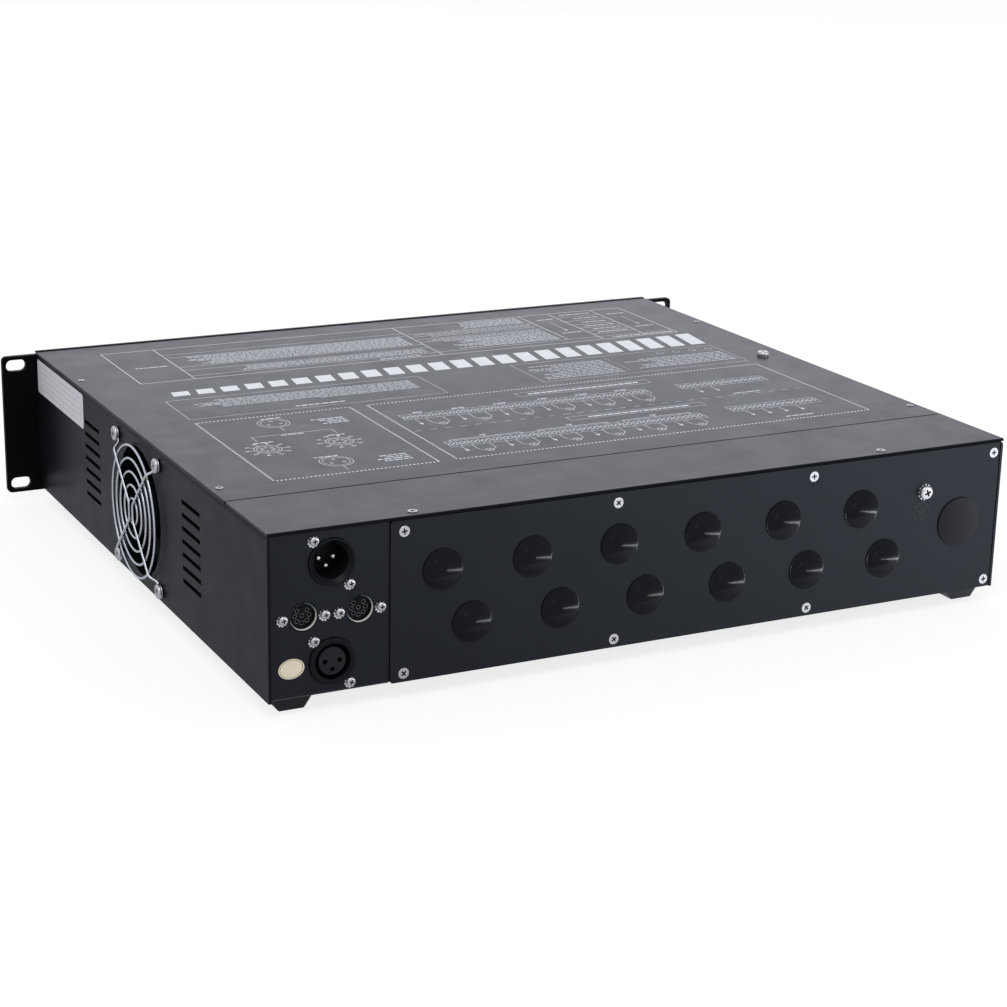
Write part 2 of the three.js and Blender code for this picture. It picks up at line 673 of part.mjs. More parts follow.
function earthScrew() {
  const e = earth;
  const nutFace = -sheet;
  const screw = solid(revolve([
    [0, e.washerThick + e.headHeight], [e.crown, e.washerThick + e.headHeight],
    [e.head, e.washerThick + e.headEdge], [e.head, e.washerThick], [e.washer, e.washerThick], [e.washer, 0],
    [e.shank, 0], [e.shank, -e.shankOut], [0, -e.shankOut],
  ], e.segments));
  const nut = solid(rod(e.nut, nutFace - e.nutThick, nutFace, e.nutSides));
  return join(screw, nut);
}

// Three-pole round sockets: a ring through the panel, a flange behind it, and a body

function socketShell(segments) {
  const x = xlr;
  const back = -sheet - x.bodyDepth;
  const flangeHalf = x.flangeHeightShare * caseSize.height / 2;
  const flange = rectangle(
    -x.flangeWidth / 2, x.flangeWidth / 2, -flangeHalf, flangeHalf, x.flangeCorner);
  const ring = solid(revolve([
    [0, x.ringProud], [x.ring - x.ringChamfer, x.ringProud], [x.ring, x.ringProud - x.ringChamfer],
    [x.ring, -sheet - x.flangeThick], [x.bodyRadius, -sheet - x.flangeThick],
    [x.bodyRadius, back], [0, back],
  ], segments));
  return join(ring, solid(extrudeY(flange, -sheet - x.flangeThick, -sheet)));
}

function contactPlaces() {
  return [[-xlr.pinSpan, 0], [xlr.pinSpan, 0], [0, -xlr.pinDrop]];
}

function inletSocket() {
  const x = xlr;
  const bore = solid(rod(x.bore, -x.boreDepth, x.ringProud + cutOverrun, x.segments));
  const key = solid(box(
    [-x.keyWidth / 2, x.keyWidth / 2], [-x.boreDepth, x.ringProud + cutOverrun], [0, x.bore + x.keyReach]));
  const pins = contactPlaces().map(([px, pz]) => solid(revolve([
    [0, -x.pinTipDepth], [x.pinRadius - x.pinChamfer, -x.pinTipDepth],
    [x.pinRadius, -x.pinTipDepth - x.pinChamfer], [x.pinRadius, -x.boreDepth - cutOverrun],
    [0, -x.boreDepth - cutOverrun],
  ], x.pinSides).translate(px, 0, pz)));
  return join(cut(socketShell(x.segments), bore, key), ...pins);
}

function outletSocket() {
  const x = xlr;
  const mouth = solid(rod(x.bore, -x.insertDepth, x.ringProud + cutOverrun, x.segments));
  const groove = cut(
    solid(rod(x.bore, -x.grooveDepth, -x.insertDepth, x.segments)),
    solid(rod(x.insertRadius, -x.grooveDepth - cutOverrun, -x.insertDepth + cutOverrun, x.segments)));
  const holes = contactPlaces().map(([px, pz]) => solid(
    rod(x.pinRadius, -x.insertDepth - x.contactDepth, -x.insertDepth + cutOverrun, x.pinSides)
      .translate(px, 0, pz)));
  return cut(socketShell(x.segments), mouth, groove, ...holes);
}

// Eight-pole control socket: a metal shell round a recessed insert, on an oval flange

function controlSocket() {
  const d = din;
  const flange = rectangle(
    -d.flangeLength / 2, d.flangeLength / 2, -d.flangeWidth / 2, d.flangeWidth / 2,
    d.flangeWidth / 2 - weldDepth);
  const shell = solid(rod(d.shell, -d.depth, d.proud, d.segments));
  const recess = solid(rod(d.shellInner, -d.recess, d.proud + cutOverrun, d.segments));
  const places = [[0, 0]];
  for (let i = 0; i < d.contacts; i += 1) {
    const angle = -Math.PI / 4 + i * d.contactStep;
    places.push([d.contactRing * Math.cos(angle), d.contactRing * Math.sin(angle)]);
  }
  const hole = rod(d.contact, -d.recess - d.contactDepth, -d.recess + cutOverrun, d.contactSides);
  const holes = places.map(([px, pz]) => solid(hole.clone().translate(px, 0, pz)));
  const plate = solid(extrudeY(flange, -sheet - d.flangeThick, -sheet));
  return cut(join(shell, plate), recess, ...holes);
}

// Fan housing: two square lids on a round tube, with a motor seat on four struts at the inner end.
// It is drawn about the fan's own axis, with x = 0 against the side sheet.

function fanHousing() {
  const f = fan;
  const half = f.size / 2;
  const lid = rectangle(-half, half, -half, half, f.corner);
  const lids = [
    solid(extrudeX(lid, -f.lid, 0)),
    solid(extrudeX(lid, -f.depth, -f.depth + f.lid)),
  ];
  const tube = solid(alongX(rod(f.tube, -f.depth, 0, f.segments)));
  const bore = solid(alongX(rod(f.bore, -f.depth - cutOverrun, cutOverrun, f.segments)));
  const corners = [];
  for (const sy of [-1, 1]) {
    for (const sz of [-1, 1]) {
      const hole = alongX(rod(f.screwHole, -f.depth - cutOverrun, cutOverrun, f.holeSides));
      corners.push(solid(hole.translate(0, sy * f.screwPitch / 2, sz * f.screwPitch / 2)));
    }
  }
  const frame = cut(join(...lids, tube), bore, ...corners);
  const struts = [];
  for (let i = 0; i < f.struts; i += 1) {
    const strut = box(
      [-f.depth, -f.depth + f.seatThick], [-f.strutWidth / 2, f.strutWidth / 2], [0, f.bore + weldDepth]);
    struts.push(solid(strut.rotateX((i + 0.5) * Math.PI * 2 / f.struts)));
  }
  const seat = solid(alongX(rod(f.seat, -f.depth, -f.depth + f.seatThick, rotor.segments)));
  const shaftBore = solid(alongX(
    rod(rotor.shaft + slideGap, -f.depth - cutOverrun, -f.depth + f.seatThick + cutOverrun, f.holeSides)));
  return cut(join(frame, seat, ...struts), shaftBore);
}

// Fan rotor: a domed hub with swept, cambered blades that twist from root to tip

function bladeSection(radius, share) {
  const r = rotor;
  const pitch = THREE.MathUtils.lerp(r.rootAngle, r.tipAngle, share);
  const chord = THREE.MathUtils.lerp(r.rootChord, r.tipChord, share);
  const chordShares = [-0.5, 0, 0.5];
  const camberShares = [0, 1, 0];
  const line = (offset) => chordShares.map((s, i) => [s * chord, camberShares[i] * r.camber + offset]);
  const outline = [...line(-r.thick / 2), ...line(r.thick / 2).reverse()];
  return outline.map(([u, v]) => {
    const across = u * Math.cos(pitch) - v * Math.sin(pitch);
    const axial = u * Math.sin(pitch) + v * Math.cos(pitch);
    const angle = across / radius;
    return new THREE.Vector3(axial, radius * Math.sin(angle), radius * Math.cos(angle));
  });
}

function fanRotor() {
  const r = rotor;
  const front = -r.frontGap;
  const back = -fan.depth + fan.seatThick + r.backGap;
  const middle = (front + back) / 2;
  const hub = solid(alongX(revolve([
    [0, back], [r.hub, back], [r.hub, front - r.capHeight], [r.hubTop, front], [0, front],
  ], r.segments)));
  const shaft = solid(alongX(rod(r.shaft, back - r.shaftLength, back + cutOverrun, fan.holeSides)));
  const blades = [];
  for (let i = 0; i < r.blades; i += 1) {
    const sections = [];
    for (let s = 0; s < r.sections; s += 1) {
      const share = s / (r.sections - 1);
      const radius = THREE.MathUtils.lerp(r.hub - cutOverrun, r.tip, share);
      sections.push(bladeSection(radius, share));
    }
    const blade = loft(sections).translate(middle, 0, 0).rotateX(i * Math.PI * 2 / r.blades);
    blades.push(solid(blade));
  }
  return join(hub, shaft, ...blades);
}

// Fan guard: concentric wire rings welded under two bent wires, whose ends are
// looped round the four screws. Drawn about the fan's axis, with x = 0 at the side sheet.

function wireSection() {
  const points = [];
  for (let i = 0; i < guard.sides; i += 1) {
    const angle = i * Math.PI * 2 / guard.sides;
    points.push(new THREE.Vector2(guard.wire * Math.cos(angle), guard.wire * Math.sin(angle)));
  }
  return new THREE.Shape(points);
}

function guardLeg(side) {
  const g = guard;
  const low = fitGap + g.wire;
  const high = g.standOff + 2 * g.wire - g.weld;
  const corner = new THREE.Vector2(side * fan.screwPitch / 2, fan.screwPitch / 2);
  const waist = new THREE.Vector2(side * g.waist, g.waistHalf);
  const inward = waist.clone().sub(corner).normalize();
  const upper = [
    new THREE.Vector3(low, ...corner.clone().addScaledVector(inward, g.loop).toArray()),
    new THREE.Vector3(low, ...corner.clone().addScaledVector(inward, g.legFlat).toArray()),
    new THREE.Vector3(high, ...corner.clone().addScaledVector(inward, g.legRise).toArray()),
    new THREE.Vector3(high, ...waist.clone().addScaledVector(inward, -g.legRise).toArray()),
    new THREE.Vector3(high, ...waist.toArray()),
  ];
  const lower = upper.map((p) => new THREE.Vector3(p.x, p.y, -p.z)).reverse();
  const path = new THREE.CatmullRomCurve3([...upper, ...lower], false, 'catmullrom', 0);
  return solid(new THREE.ExtrudeGeometry(wireSection(), { steps: g.legSteps, extrudePath: path }));
}

function fanGuard() {
  const g = guard;
  const rings = [];
  for (let i = 0; i < g.rings; i += 1) {
    const radius = g.firstRing + i * g.ringPitch;
    const steps = g.ringStepBase + i * g.ringStepGrowth;
    const ring = new THREE.TorusGeometry(radius, g.wire, g.sides, steps).rotateY(Math.PI / 2);
    rings.push(solid(ring.translate(g.standOff, 0, 0)));
  }
  const loops = [];
  for (const sy of [-1, 1]) {
    for (const sz of [-1, 1]) {
      const loop = new THREE.TorusGeometry(g.loop, g.wire, g.sides, g.loopSteps).rotateY(Math.PI / 2);
      loops.push(solid(loop.translate(fitGap + g.wire, sy * fan.screwPitch / 2, sz * fan.screwPitch / 2)));
    }
  }
  return join(guardLeg(-1), guardLeg(1), ...rings, ...loops);
}

// Heat sink: a long comb of fins in the fan's air stream

function heatSinkBody() {
  const h = heatSink;
  const half = sinkHalf;
  const pitch = (2 * half - h.finThick) / (h.fins - 1);
  const points = [[-half, sheet], [half, sheet]];
  for (let i = h.fins - 1; i >= 0; i -= 1) {
    const left = -half + i * pitch;
    points.push([left + h.finThick, sheet + h.height], [left, sheet + h.height]);
    if (i > 0) points.push([left, sheet + h.base], [left - pitch + h.finThick, sheet + h.base]);
  }
  return solid(extrudeX(polygon(points), h.left, h.right));
}

// A circuit board on round posts that stand on the floor

function boardOnPosts(left, right, near, far, inset) {
  const top = sheet + board.floorGap;
  const plate = solid(box([left, right], [near, far], [top, top + board.thick]));
  const posts = [];
  for (const x of [left + inset, (left + right) / 2, right - inset]) {
    for (const y of [near + inset, far - inset]) {
      const post = alongZ(rod(board.post, sheet, top + weldDepth, board.postSides));
      posts.push(solid(post.translate(x, y, 0)));
    }
  }
  return join(plate, ...posts);
}

const boardTop = sheet + board.floorGap + board.thick;

function powerBoardBody() {
  const p = powerBoard;
  const pieces = [boardOnPosts(p.left, p.right, p.near, p.far, p.postInset)];
  const firstX = p.left + p.firstInset;
  const pitch = p.pitchShare * (p.right - p.left);
  const capY = (p.near + p.far) / 2 - p.capSetback;
  for (let i = 0; i < p.channels; i += 1) {
    const x = firstX + i * pitch;
    pieces.push(solid(box(
      [x - p.switchWidth / 2, x + p.switchWidth / 2],
      [p.near + p.switchInset, p.near + p.switchInset + p.switchDepth],
      [boardTop - weldDepth, boardTop + p.switchHeight])));
  }
  for (let i = 0; i < p.capacitors; i += 1) {
    const x = firstX + (i + 0.5) * pitch * p.channels / p.capacitors;
    pieces.push(solid(box(
      [x - p.capWidth / 2, x + p.capWidth / 2], [capY, capY + p.capDepth],
      [boardTop - weldDepth, boardTop + p.capHeight])));
  }
  return join(...pieces);
}

function controlBoardBody() {
  const c = controlBoard;
  const relayX = c.right - c.chipInset - c.relaySize;
  const chip = (x, y, sizeX, sizeY, height) => solid(box(
    [x, x + sizeX], [y, y + sizeY], [boardTop - weldDepth, boardTop + height]));
  return join(
    boardOnPosts(c.left, c.right, c.near, c.far, c.postInset),
    chip(c.left + c.chipInset, c.near + c.chipInset, c.chipWidth, c.chipLength, c.chipHeight),
    chip(relayX, c.near + c.chipInset, c.relaySize, c.relaySize, c.relayHeight),
    chip(c.left + c.chipInset, c.far - c.chipInset - c.chipWidth, c.chipLength, c.chipWidth, c.chipHeight));
}

function chokeBoardBody() {
  const c = choke;
  const pieces = [boardOnPosts(c.boardLeft, c.boardRight, c.boardNear, c.boardFar, board.post * 2)];
  const low = boardTop - weldDepth;
  const high = boardTop + c.height;
  const pitch = c.pitchShare * (c.boardRight - c.boardLeft);
  const rowPitch = c.rowShare * (c.boardFar - c.boardNear);
  const outer = Math.min(pitch, rowPitch) / 2 - c.gap;
  const inner = c.innerShare * outer;
  const section = [
    [inner, low], [outer, low], [outer, high - c.corner], [outer - c.corner, high], [inner, high],
    [inner, low],
  ];
  const ring = new THREE.LatheGeometry(section.map(([r, z]) => new THREE.Vector2(r, z)), c.segments)
    .rotateX(Math.PI / 2);
  const middleX = (c.boardLeft + c.boardRight) / 2;
  const middleY = (c.boardNear + c.boardFar) / 2;
  for (const side of [-0.5, 0.5]) {
    for (let i = 0; i < c.perRow; i += 1) {
      const x = middleX + (i - (c.perRow - 1) / 2) * pitch;
      pieces.push(solid(ring.clone().translate(x, middleY + side * rowPitch, 0)));
    }
  }
  return join(...pieces);
}

// Output terminals: a stepped block with a ridge and a screw well for each pole

function terminalStrip() {
  const t = terminals;
  const section = polygon([
    [terminalsNear, sheet], [t.far, sheet], [t.far, sheet + t.stepHeight],
    [terminalsNear + t.step, sheet + t.height], [terminalsNear, sheet + t.height],
  ]);
  const body = solid(extrudeX(section, t.left, t.right));
  const pitch = (t.right - t.left) / t.poles;
  const wellY = terminalsNear + t.step / 2;
  const top = sheet + t.height;
  const wells = [];
  for (let i = 0; i < t.poles; i += 1) {
    const well = alongZ(rod(t.well, top - t.wellDepth, top + cutOverrun, t.wellSides));
    wells.push(solid(well.translate(t.left + (i + 0.5) * pitch, wellY, 0)));
  }
  return cut(body, ...wells);
}

// Control transformer: a laminated core with a window, and a coil round its middle limb

function transformerBody() {
  const t = transformer;
  const half = t.coreWidth / 2;
  const core = rectangle(-half, half, sheet, sheet + t.coreHeight);
  core.holes.push(rectangle(
    -half + t.window, half - t.window, sheet + t.window, sheet + t.coreHeight - t.window));
  const coilBottom = sheet + (t.coreHeight - t.coilHeight) / 2;
  const coil = rectangle(-t.coil / 2, t.coil / 2, -t.coil / 2, t.coil / 2, t.coilCorner);
  const limbHalf = t.window;
  return join(
    solid(extrudeY(core, -t.coreDepth / 2, t.coreDepth / 2)),
    solid(box([-limbHalf, limbHalf], [-t.coreDepth / 2, t.coreDepth / 2], [sheet, sheet + t.coreHeight])),
    solid(extrudeZ(coil, coilBottom, coilBottom + t.coilHeight)));
}

// A row of circuit breakers: a nose through the panel's window and a wider body
// behind it, grooved between modules, with a round seat for each lever

const noseFaceY = panelFaceY - breaker.noseProud;
const pivotY = noseFaceY + lever.pivotDepth;

function breakerRow() {
  const b = breaker;
  const noseHalf = b.noseHeight / 2;
  const bodyHalf = b.bodyHeight / 2;
  const shoulderY = frontY + b.shoulderGap;
  const section = polygon([
    [noseFaceY, -noseHalf], [shoulderY, -noseHalf], [shoulderY, -bodyHalf + b.chamfer],
    [shoulderY + b.chamfer, -bodyHalf], [breakerBackY, -bodyHalf], [breakerBackY, bodyHalf],
    [shoulderY + b.chamfer, bodyHalf], [shoulderY, bodyHalf - b.chamfer], [shoulderY, noseHalf],
    [noseFaceY, noseHalf],
  ]);
  const length = b.width * b.perRow;
  const body = solid(extrudeX(section, 0, length));
  const seatRadius = (lever.hub + slideGap) / Math.cos(Math.PI / lever.segments); // flats clear the hub
  const tools = [];
  for (let i = 0; i < b.perRow; i += 1) {
    const middle = (i + 0.5) * b.width;
    const seatHalf = lever.width / 2 + slideGap;
    const seat = alongX(rod(seatRadius, middle - seatHalf, middle + seatHalf, lever.segments));
    tools.push(solid(seat.translate(0, pivotY, 0)));
    if (i > 0) {
      const x = i * b.width;
      tools.push(solid(box(
        [x - b.groove / 2, x + b.groove / 2], [noseFaceY - cutOverrun, noseFaceY + b.grooveDepth],
        [-noseHalf - cutOverrun, noseHalf + cutOverrun])));
    }
  }
  return cut(body, ...tools);
}

// Breaker lever: a round hub with a tapered handle, drawn about its pivot and set up (on)

function leverBody() {
  const l = lever;
  const halfWidth = l.width / 2;
  const hub = solid(alongX(rod(l.hub, -halfWidth, halfWidth, l.segments)));
  const outline = new THREE.Shape();
  const tipRadius = l.tip / 2;
  outline.moveTo(0, -l.root / 2);
  outline.lineTo(l.reach - tipRadius, -tipRadius);
  outline.absarc(l.reach - tipRadius, 0, tipRadius, -Math.PI / 2, Math.PI / 2);
  outline.lineTo(0, l.root / 2);
  outline.closePath();
  const handle = extrudeX(outline, -halfWidth, halfWidth, l.tipSteps);
  handle.rotateX(Math.PI - l.lift);
  return join(hub, solid(handle));
}

// Mounting rail behind the breakers, on two legs that stand on the floor

function dinRailBody() {
  const d = dinRail;
  const half = d.height / 2;
  const near = breakerBackY;
  const middle = d.thick / 2;
  const hat = foldedSection([
    [near + middle, -half], [near + middle, -half + d.brim], [near + d.depth - middle, -half + d.brim],
    [near + d.depth - middle, half - d.brim], [near + middle, half - d.brim], [near + middle, half],
  ], d.thick, d.thick / 2);
  const left = breaker.rowStarts[0] - d.overhang;
  const right = breaker.rowStarts[1] + breaker.width * breaker.perRow + d.overhang;
  const profile = solid(extrudeX(hat, left, right).translate(0, 0, breaker.midZ));
  const legSection = foldedSection([
    [railBackY + middle - weldDepth, breaker.midZ + half / 2],
    [railBackY + middle - weldDepth, sheet + middle],
    [railBackY + d.footDepth, sheet + middle],
  ], d.thick, d.thick / 2);
  const legs = [left, right - d.legWidth].map((x) => solid(extrudeX(legSection, x, x + d.legWidth)));
  return join(profile, ...legs);
}

// Display window, display board and menu buttons

function displayWindow() {
  const d = display;
  const inner = rectangle(
    -d.width / 2 + fitGap, d.width / 2 - fitGap,
    -d.height / 2 + fitGap, d.height / 2 - fitGap, d.corner);
  const outer = rectangle(
    -d.width / 2 - d.flange, d.width / 2 + d.flange,
    -d.height / 2 - d.flange, d.height / 2 + d.flange, d.corner);
  const flangeFront = frontY;
  return join(
    solid(extrudeY(inner, panelFaceY, frontY + weldDepth)),
    solid(extrudeY(outer, flangeFront, flangeFront + d.flangeThick)));
}

const displayBoardY = frontY + displayBoard.standOff;
const buttonBackY = panelFaceY - button.proud + button.length;

function displayBoardBody() {
  const d = displayBoard;
  const back = displayBoardY + board.thick;
  const plate = solid(box([d.left, d.right], [displayBoardY, back], [d.bottom, d.top]));
  const pieces = [plate];
  for (const x of [d.left + d.postInset, d.right - d.postInset]) {
    for (const z of [d.bottom + d.postInset, d.top - d.postInset]) {
      const post = rod(board.post, frontY, displayBoardY + weldDepth, board.postSides);
      pieces.push(solid(post.translate(x, 0, z)));
    }
  }
  const moduleFront = frontY + display.flangeThick + display.moduleGap;
  const half = display.moduleWidth / 2;
  let module = solid(box(
    [display.x - half, display.x + half], [moduleFront, displayBoardY + weldDepth],
    [display.z - display.moduleHeight / 2, display.z + display.moduleHeight / 2]));
  const digitPitch = display.moduleWidth / display.digits;
  for (let i = 1; i < display.digits; i += 1) {
    const x = display.x - half + i * digitPitch;
    module = cut(module, solid(box(
      [x - display.digitGap / 2, x + display.digitGap / 2],
      [moduleFront - cutOverrun, moduleFront + display.digitDepth],
      [display.z - display.height, display.z + display.height])));
  }
  pieces.push(module);
  const switchFront = buttonBackY + button.travel + button.switchRest;
  for (let i = 0; i < button.count; i += 1) {
    const x = button.firstX + i * button.pitch;
    pieces.push(solid(box(
      [x - button.switchSize / 2, x + button.switchSize / 2], [switchFront, displayBoardY + weldDepth],
      [button.z - button.switchSize / 2, button.z + button.switchSize / 2])));
  }
  return join(...pieces);
}

function buttonBody() {
  const b = button;
  const back = b.length;
  const flangeFront = b.proud + rack.thick + fitGap;
  return solid(revolve([
    [0, b.dish], [b.radius - b.edge, 0], [b.radius, b.edge], [b.radius, flangeFront],
    [b.flange, flangeFront], [b.flange, flangeFront + b.flangeThick], [b.stem, flangeFront + b.flangeThick],
    [b.stem, back], [0, back],
  ], b.segments));
}

// Assembly

addPart('base_tray', baseTray(), finish.caseBlack);
addPart('side_sheet_fan', sideSheet(true), finish.caseBlack);
const plainSide = sideSheet(false).mirror([1, 0, 0]);
addPart('side_sheet_plain', plainSide, finish.caseBlack);
addPart('top_cover', topCover(), finish.caseBlack);
addPart('rear_cover', rearCover(), finish.caseBlack);
addPart('rear_rail', rearRail(), finish.caseBlack);
addPart('gland_plate', glandPlateBody(), finish.caseBlack);
addPart('front_panel', frontPanel(), finish.panelBlack);

const oneGrommet = grommetBody();
grommetCentres().forEach(([x, z], i) => {
  addPart(`cable_grommet_${i + 1}`, oneGrommet, finish.rubber, x, plateY, z);
});
addPart('blanking_plug', plugBody(), finish.plastic, plug.x, plateY, plug.z);
addPart('earth_screw', earthScrew(), finish.chrome, earth.x, plateY, earth.z);

addPart('xlr_inlet', inletSocket(), finish.plastic, socketX, panelY, xlr.inletZ);
addPart('xlr_outlet', outletSocket(), finish.plastic, socketX, panelY, xlr.outletZ);
const oneControlSocket = controlSocket();
addPart('control_socket_a', oneControlSocket, finish.chrome, socketX + din.offset, panelY, din.z);
addPart('control_socket_b', oneControlSocket, finish.chrome, socketX - din.offset, panelY, din.z);

const fanGroup = new THREE.Group();
fanGroup.position.set(wallInner, fan.y, fan.z);
caseGroup.add(fanGroup);
addPart('fan_housing', fanHousing(), finish.plastic, 0, 0, 0, fanGroup);
addPart('fan_rotor', fanRotor(), finish.plastic, 0, 0, 0, fanGroup);
addPart('fan_guard', fanGuard(), finish.chrome, sheet, 0, 0, fanGroup);

const oneFoot = footBody();
let footNumber = 0;
for (const x of [-halfWidth + foot.insetX, halfWidth - foot.insetX]) {
  for (const y of [frontY + foot.insetY, rearY - foot.insetY]) {
    footNumber += 1;
    addPart(`foot_${footNumber}`, oneFoot, finish.rubber, x, y, 0);
  }
}

addPart('heat_sink', heatSinkBody(), finish.aluminium, 0, sinkY, 0);
addPart('power_board', powerBoardBody(), finish.laminate);
addPart('control_board', controlBoardBody(), finish.laminate);
addPart('choke_board', chokeBoardBody(), finish.copper);
addPart('terminal_strip', terminalStrip(), finish.terminalGreen);
addPart('transformer', transformerBody(), finish.copper, transformer.x, transformer.y, 0);

const oneLever = leverBody();
const oneRow = breakerRow();
breaker.rowStarts.forEach((start, row) => {
  addPart(`breaker_row_${row + 1}`, oneRow, finish.breakerGrey, start, 0, breaker.midZ);
  for (let i = 0; i < breaker.perRow; i += 1) {
    const x = start + (i + 0.5) * breaker.width;
    const number = row * breaker.perRow + i + 1;
    addPart(`breaker_lever_${number}`, oneLever, finish.plastic, x, pivotY, breaker.midZ);
  }
});
addPart('breaker_rail', dinRailBody(), finish.aluminium);

addPart('display_board', displayBoardBody(), finish.laminate);
addPart('display_window', displayWindow(), finish.smokedWindow, display.x, 0, display.z);
const oneButton = buttonBody();
for (let i = 0; i < button.count; i += 1) {
  const x = button.firstX + i * button.pitch;
  addPart(`menu_button_${i + 1}`, oneButton, finish.plastic, x, panelFaceY - button.proud, button.z);
}

export default pack;
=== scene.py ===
"""Looks of a rack dimmer pack, dressed round its packed frame.

The case is seen from its rear and from its fan side. Every piece is modelled at
its place in the row frame, in metres, and rides on a body of the frame. Sizes in
the classes below are in millimetres, in the case's own coordinates: x towards
the fan side, y towards the rear, z up from the underside of the case.
"""

import json
import logging
import math
import random
from collections.abc import Callable, Iterator, Sequence
from contextlib import contextmanager
from dataclasses import dataclass, field, replace
from enum import Enum

import bmesh
import bpy
from mathutils import Matrix, Quaternion, Vector


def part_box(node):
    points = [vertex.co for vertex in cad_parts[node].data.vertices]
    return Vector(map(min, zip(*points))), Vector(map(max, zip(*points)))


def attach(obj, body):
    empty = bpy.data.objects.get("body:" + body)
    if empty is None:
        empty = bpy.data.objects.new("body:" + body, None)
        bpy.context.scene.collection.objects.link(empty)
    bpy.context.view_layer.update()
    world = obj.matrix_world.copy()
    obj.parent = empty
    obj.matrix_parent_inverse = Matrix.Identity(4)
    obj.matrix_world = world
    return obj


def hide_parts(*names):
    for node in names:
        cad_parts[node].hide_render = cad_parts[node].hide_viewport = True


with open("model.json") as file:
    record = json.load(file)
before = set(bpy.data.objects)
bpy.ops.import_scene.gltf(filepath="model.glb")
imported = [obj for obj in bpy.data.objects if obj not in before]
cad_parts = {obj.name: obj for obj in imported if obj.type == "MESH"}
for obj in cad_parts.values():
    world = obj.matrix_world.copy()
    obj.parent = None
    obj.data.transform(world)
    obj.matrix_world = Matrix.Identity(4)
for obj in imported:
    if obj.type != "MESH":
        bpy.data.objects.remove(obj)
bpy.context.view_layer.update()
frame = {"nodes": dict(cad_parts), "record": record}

MM = 0.001
LOG = logging.getLogger("dimmer_pack")
BODY = "case"

Piece = bpy.types.Object
Node = bpy.types.Node
Tree = bpy.types.NodeTree
Socket = bpy.types.NodeSocket
Point = tuple[float, float]
Colour = tuple[float, float, float]
Box = tuple[float, float, float, float]


# Where things are


class Side(Enum):
    """A face of the case, with its directions to the right, up and outwards."""

    REAR = ((-1, 0, 0), (0, 0, 1), (0, 1, 0))
    FAN = ((0, 1, 0), (0, 0, 1), (1, 0, 0))
    PLAIN = ((0, -1, 0), (0, 0, 1), (-1, 0, 0))
    TOP = ((1, 0, 0), (0, 1, 0), (0, 0, 1))
    UNDER = ((-1, 0, 0), (0, 1, 0), (0, 0, -1))
    FRONT = ((1, 0, 0), (0, 0, 1), (0, -1, 0))

    def turn(self) -> Matrix:
        """Returns the rotation from a piece's own axes to this face."""
        return Matrix(self.value).transposed().to_4x4()


@dataclass(frozen=True)
class CaseFrame:
    """The case's own coordinates in the row frame, with the faces that carry pieces.

    Attributes:
        plate: Outer face of the gland plate, in y.
        panel: Outer face of the connector panel, in y.
        front: Outer face of the front panel, in y.
        wall: Outer face of the side sheet with the fan, in x.
        top: Upper face of the cover, in z.
        sockets: Middle of the column of sockets, in x.
        foot: Height of the feet.
    """

    plate: float = 200.1
    panel: float = 199.3
    front: float = -203.5
    wall: float = 219.6
    top: float = 87.2
    sockets: float = 185.7
    foot: float = 9.0

    @property
    def shift(self) -> float:
        """Returns how far the case's middle lies from the row's, in millimetres."""
        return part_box("gland_plate")[1].y / MM - self.plate

    def at(self, x: float, y: float, z: float) -> Vector:
        """Returns a place in the case's millimetres as a point in metres."""
        return Vector((x, y + self.shift, z + self.foot)) * MM

    def placing(self, side: Side, x: float, y: float, z: float, spin: float = 0.0) -> Matrix:
        """Gives the matrix from a piece's millimetres to a face, turned by spin degrees on it."""
        turn = side.turn() @ Matrix.Rotation(math.radians(spin), 4, "Z")
        return Matrix.Translation(self.at(x, y, z)) @ turn @ Matrix.Scale(MM, 4)


CASE = CaseFrame()


# Workbench: modelling steps that several sub-assemblies share


def clear_selection() -> None:
    """Deselects every object."""
    for each in list(bpy.context.selected_objects):
        each.select_set(False)


def pick(*pieces: Piece) -> None:
    """Makes pieces the only ones selected, and the first of them the active one.

    Args:
        *pieces: The pieces.
    """
    clear_selection()
    for each in pieces:
        each.select_set(True)
    bpy.context.view_layer.objects.active = pieces[0]


@contextmanager
def editing(piece: Piece, whole: bool = False) -> Iterator[None]:
    """Opens a piece in edit mode, with vertices as the select mode.

    Args:
        piece: The mesh object to edit.
        whole: Whether all of it is selected.

    Yields:
        Nothing; operators act on the piece inside the block.
    """
    pick(piece)
    bpy.ops.object.mode_set(mode="EDIT")
    bpy.ops.mesh.select_mode(type="VERT")
    if whole:
        bpy.ops.mesh.select_all(action="SELECT")
    try:
        yield
    finally:
        bpy.ops.object.mode_set(mode="OBJECT")


class Part(Enum):
    """What a test selects in edit mode."""

    FACE = "faces"
    EDGE = "edges"


def select(
    piece: Piece, kind: Part, wanted: Callable[[bmesh.types.BMFace | bmesh.types.BMEdge], bool]
) -> None:
    """Selects the faces or edges of a piece in edit mode that pass a test, and nothing else.

    Args:
        piece: The mesh object in edit mode.
        kind: Faces or edges.
        wanted: Says of each whether it is selected.
    """
    bpy.ops.mesh.select_mode(type=kind.name)
    bpy.ops.mesh.select_all(action="DESELECT")
    mesh = bmesh.from_edit_mesh(piece.data)
    for part in getattr(mesh, kind.value):
        part.select_set(wanted(part))
    mesh.select_flush_mode()
    bmesh.update_edit_mesh(piece.data)


def fix_normals(piece: Piece) -> None:
    """Merges doubled vertices of a closed piece and turns its faces outwards.

    Args:
        piece: The piece.
    """
    with editing(piece, whole=True):
        bpy.ops.mesh.remove_doubles(threshold=1e-5)
        bpy.ops.mesh.normals_make_consistent(inside=False)


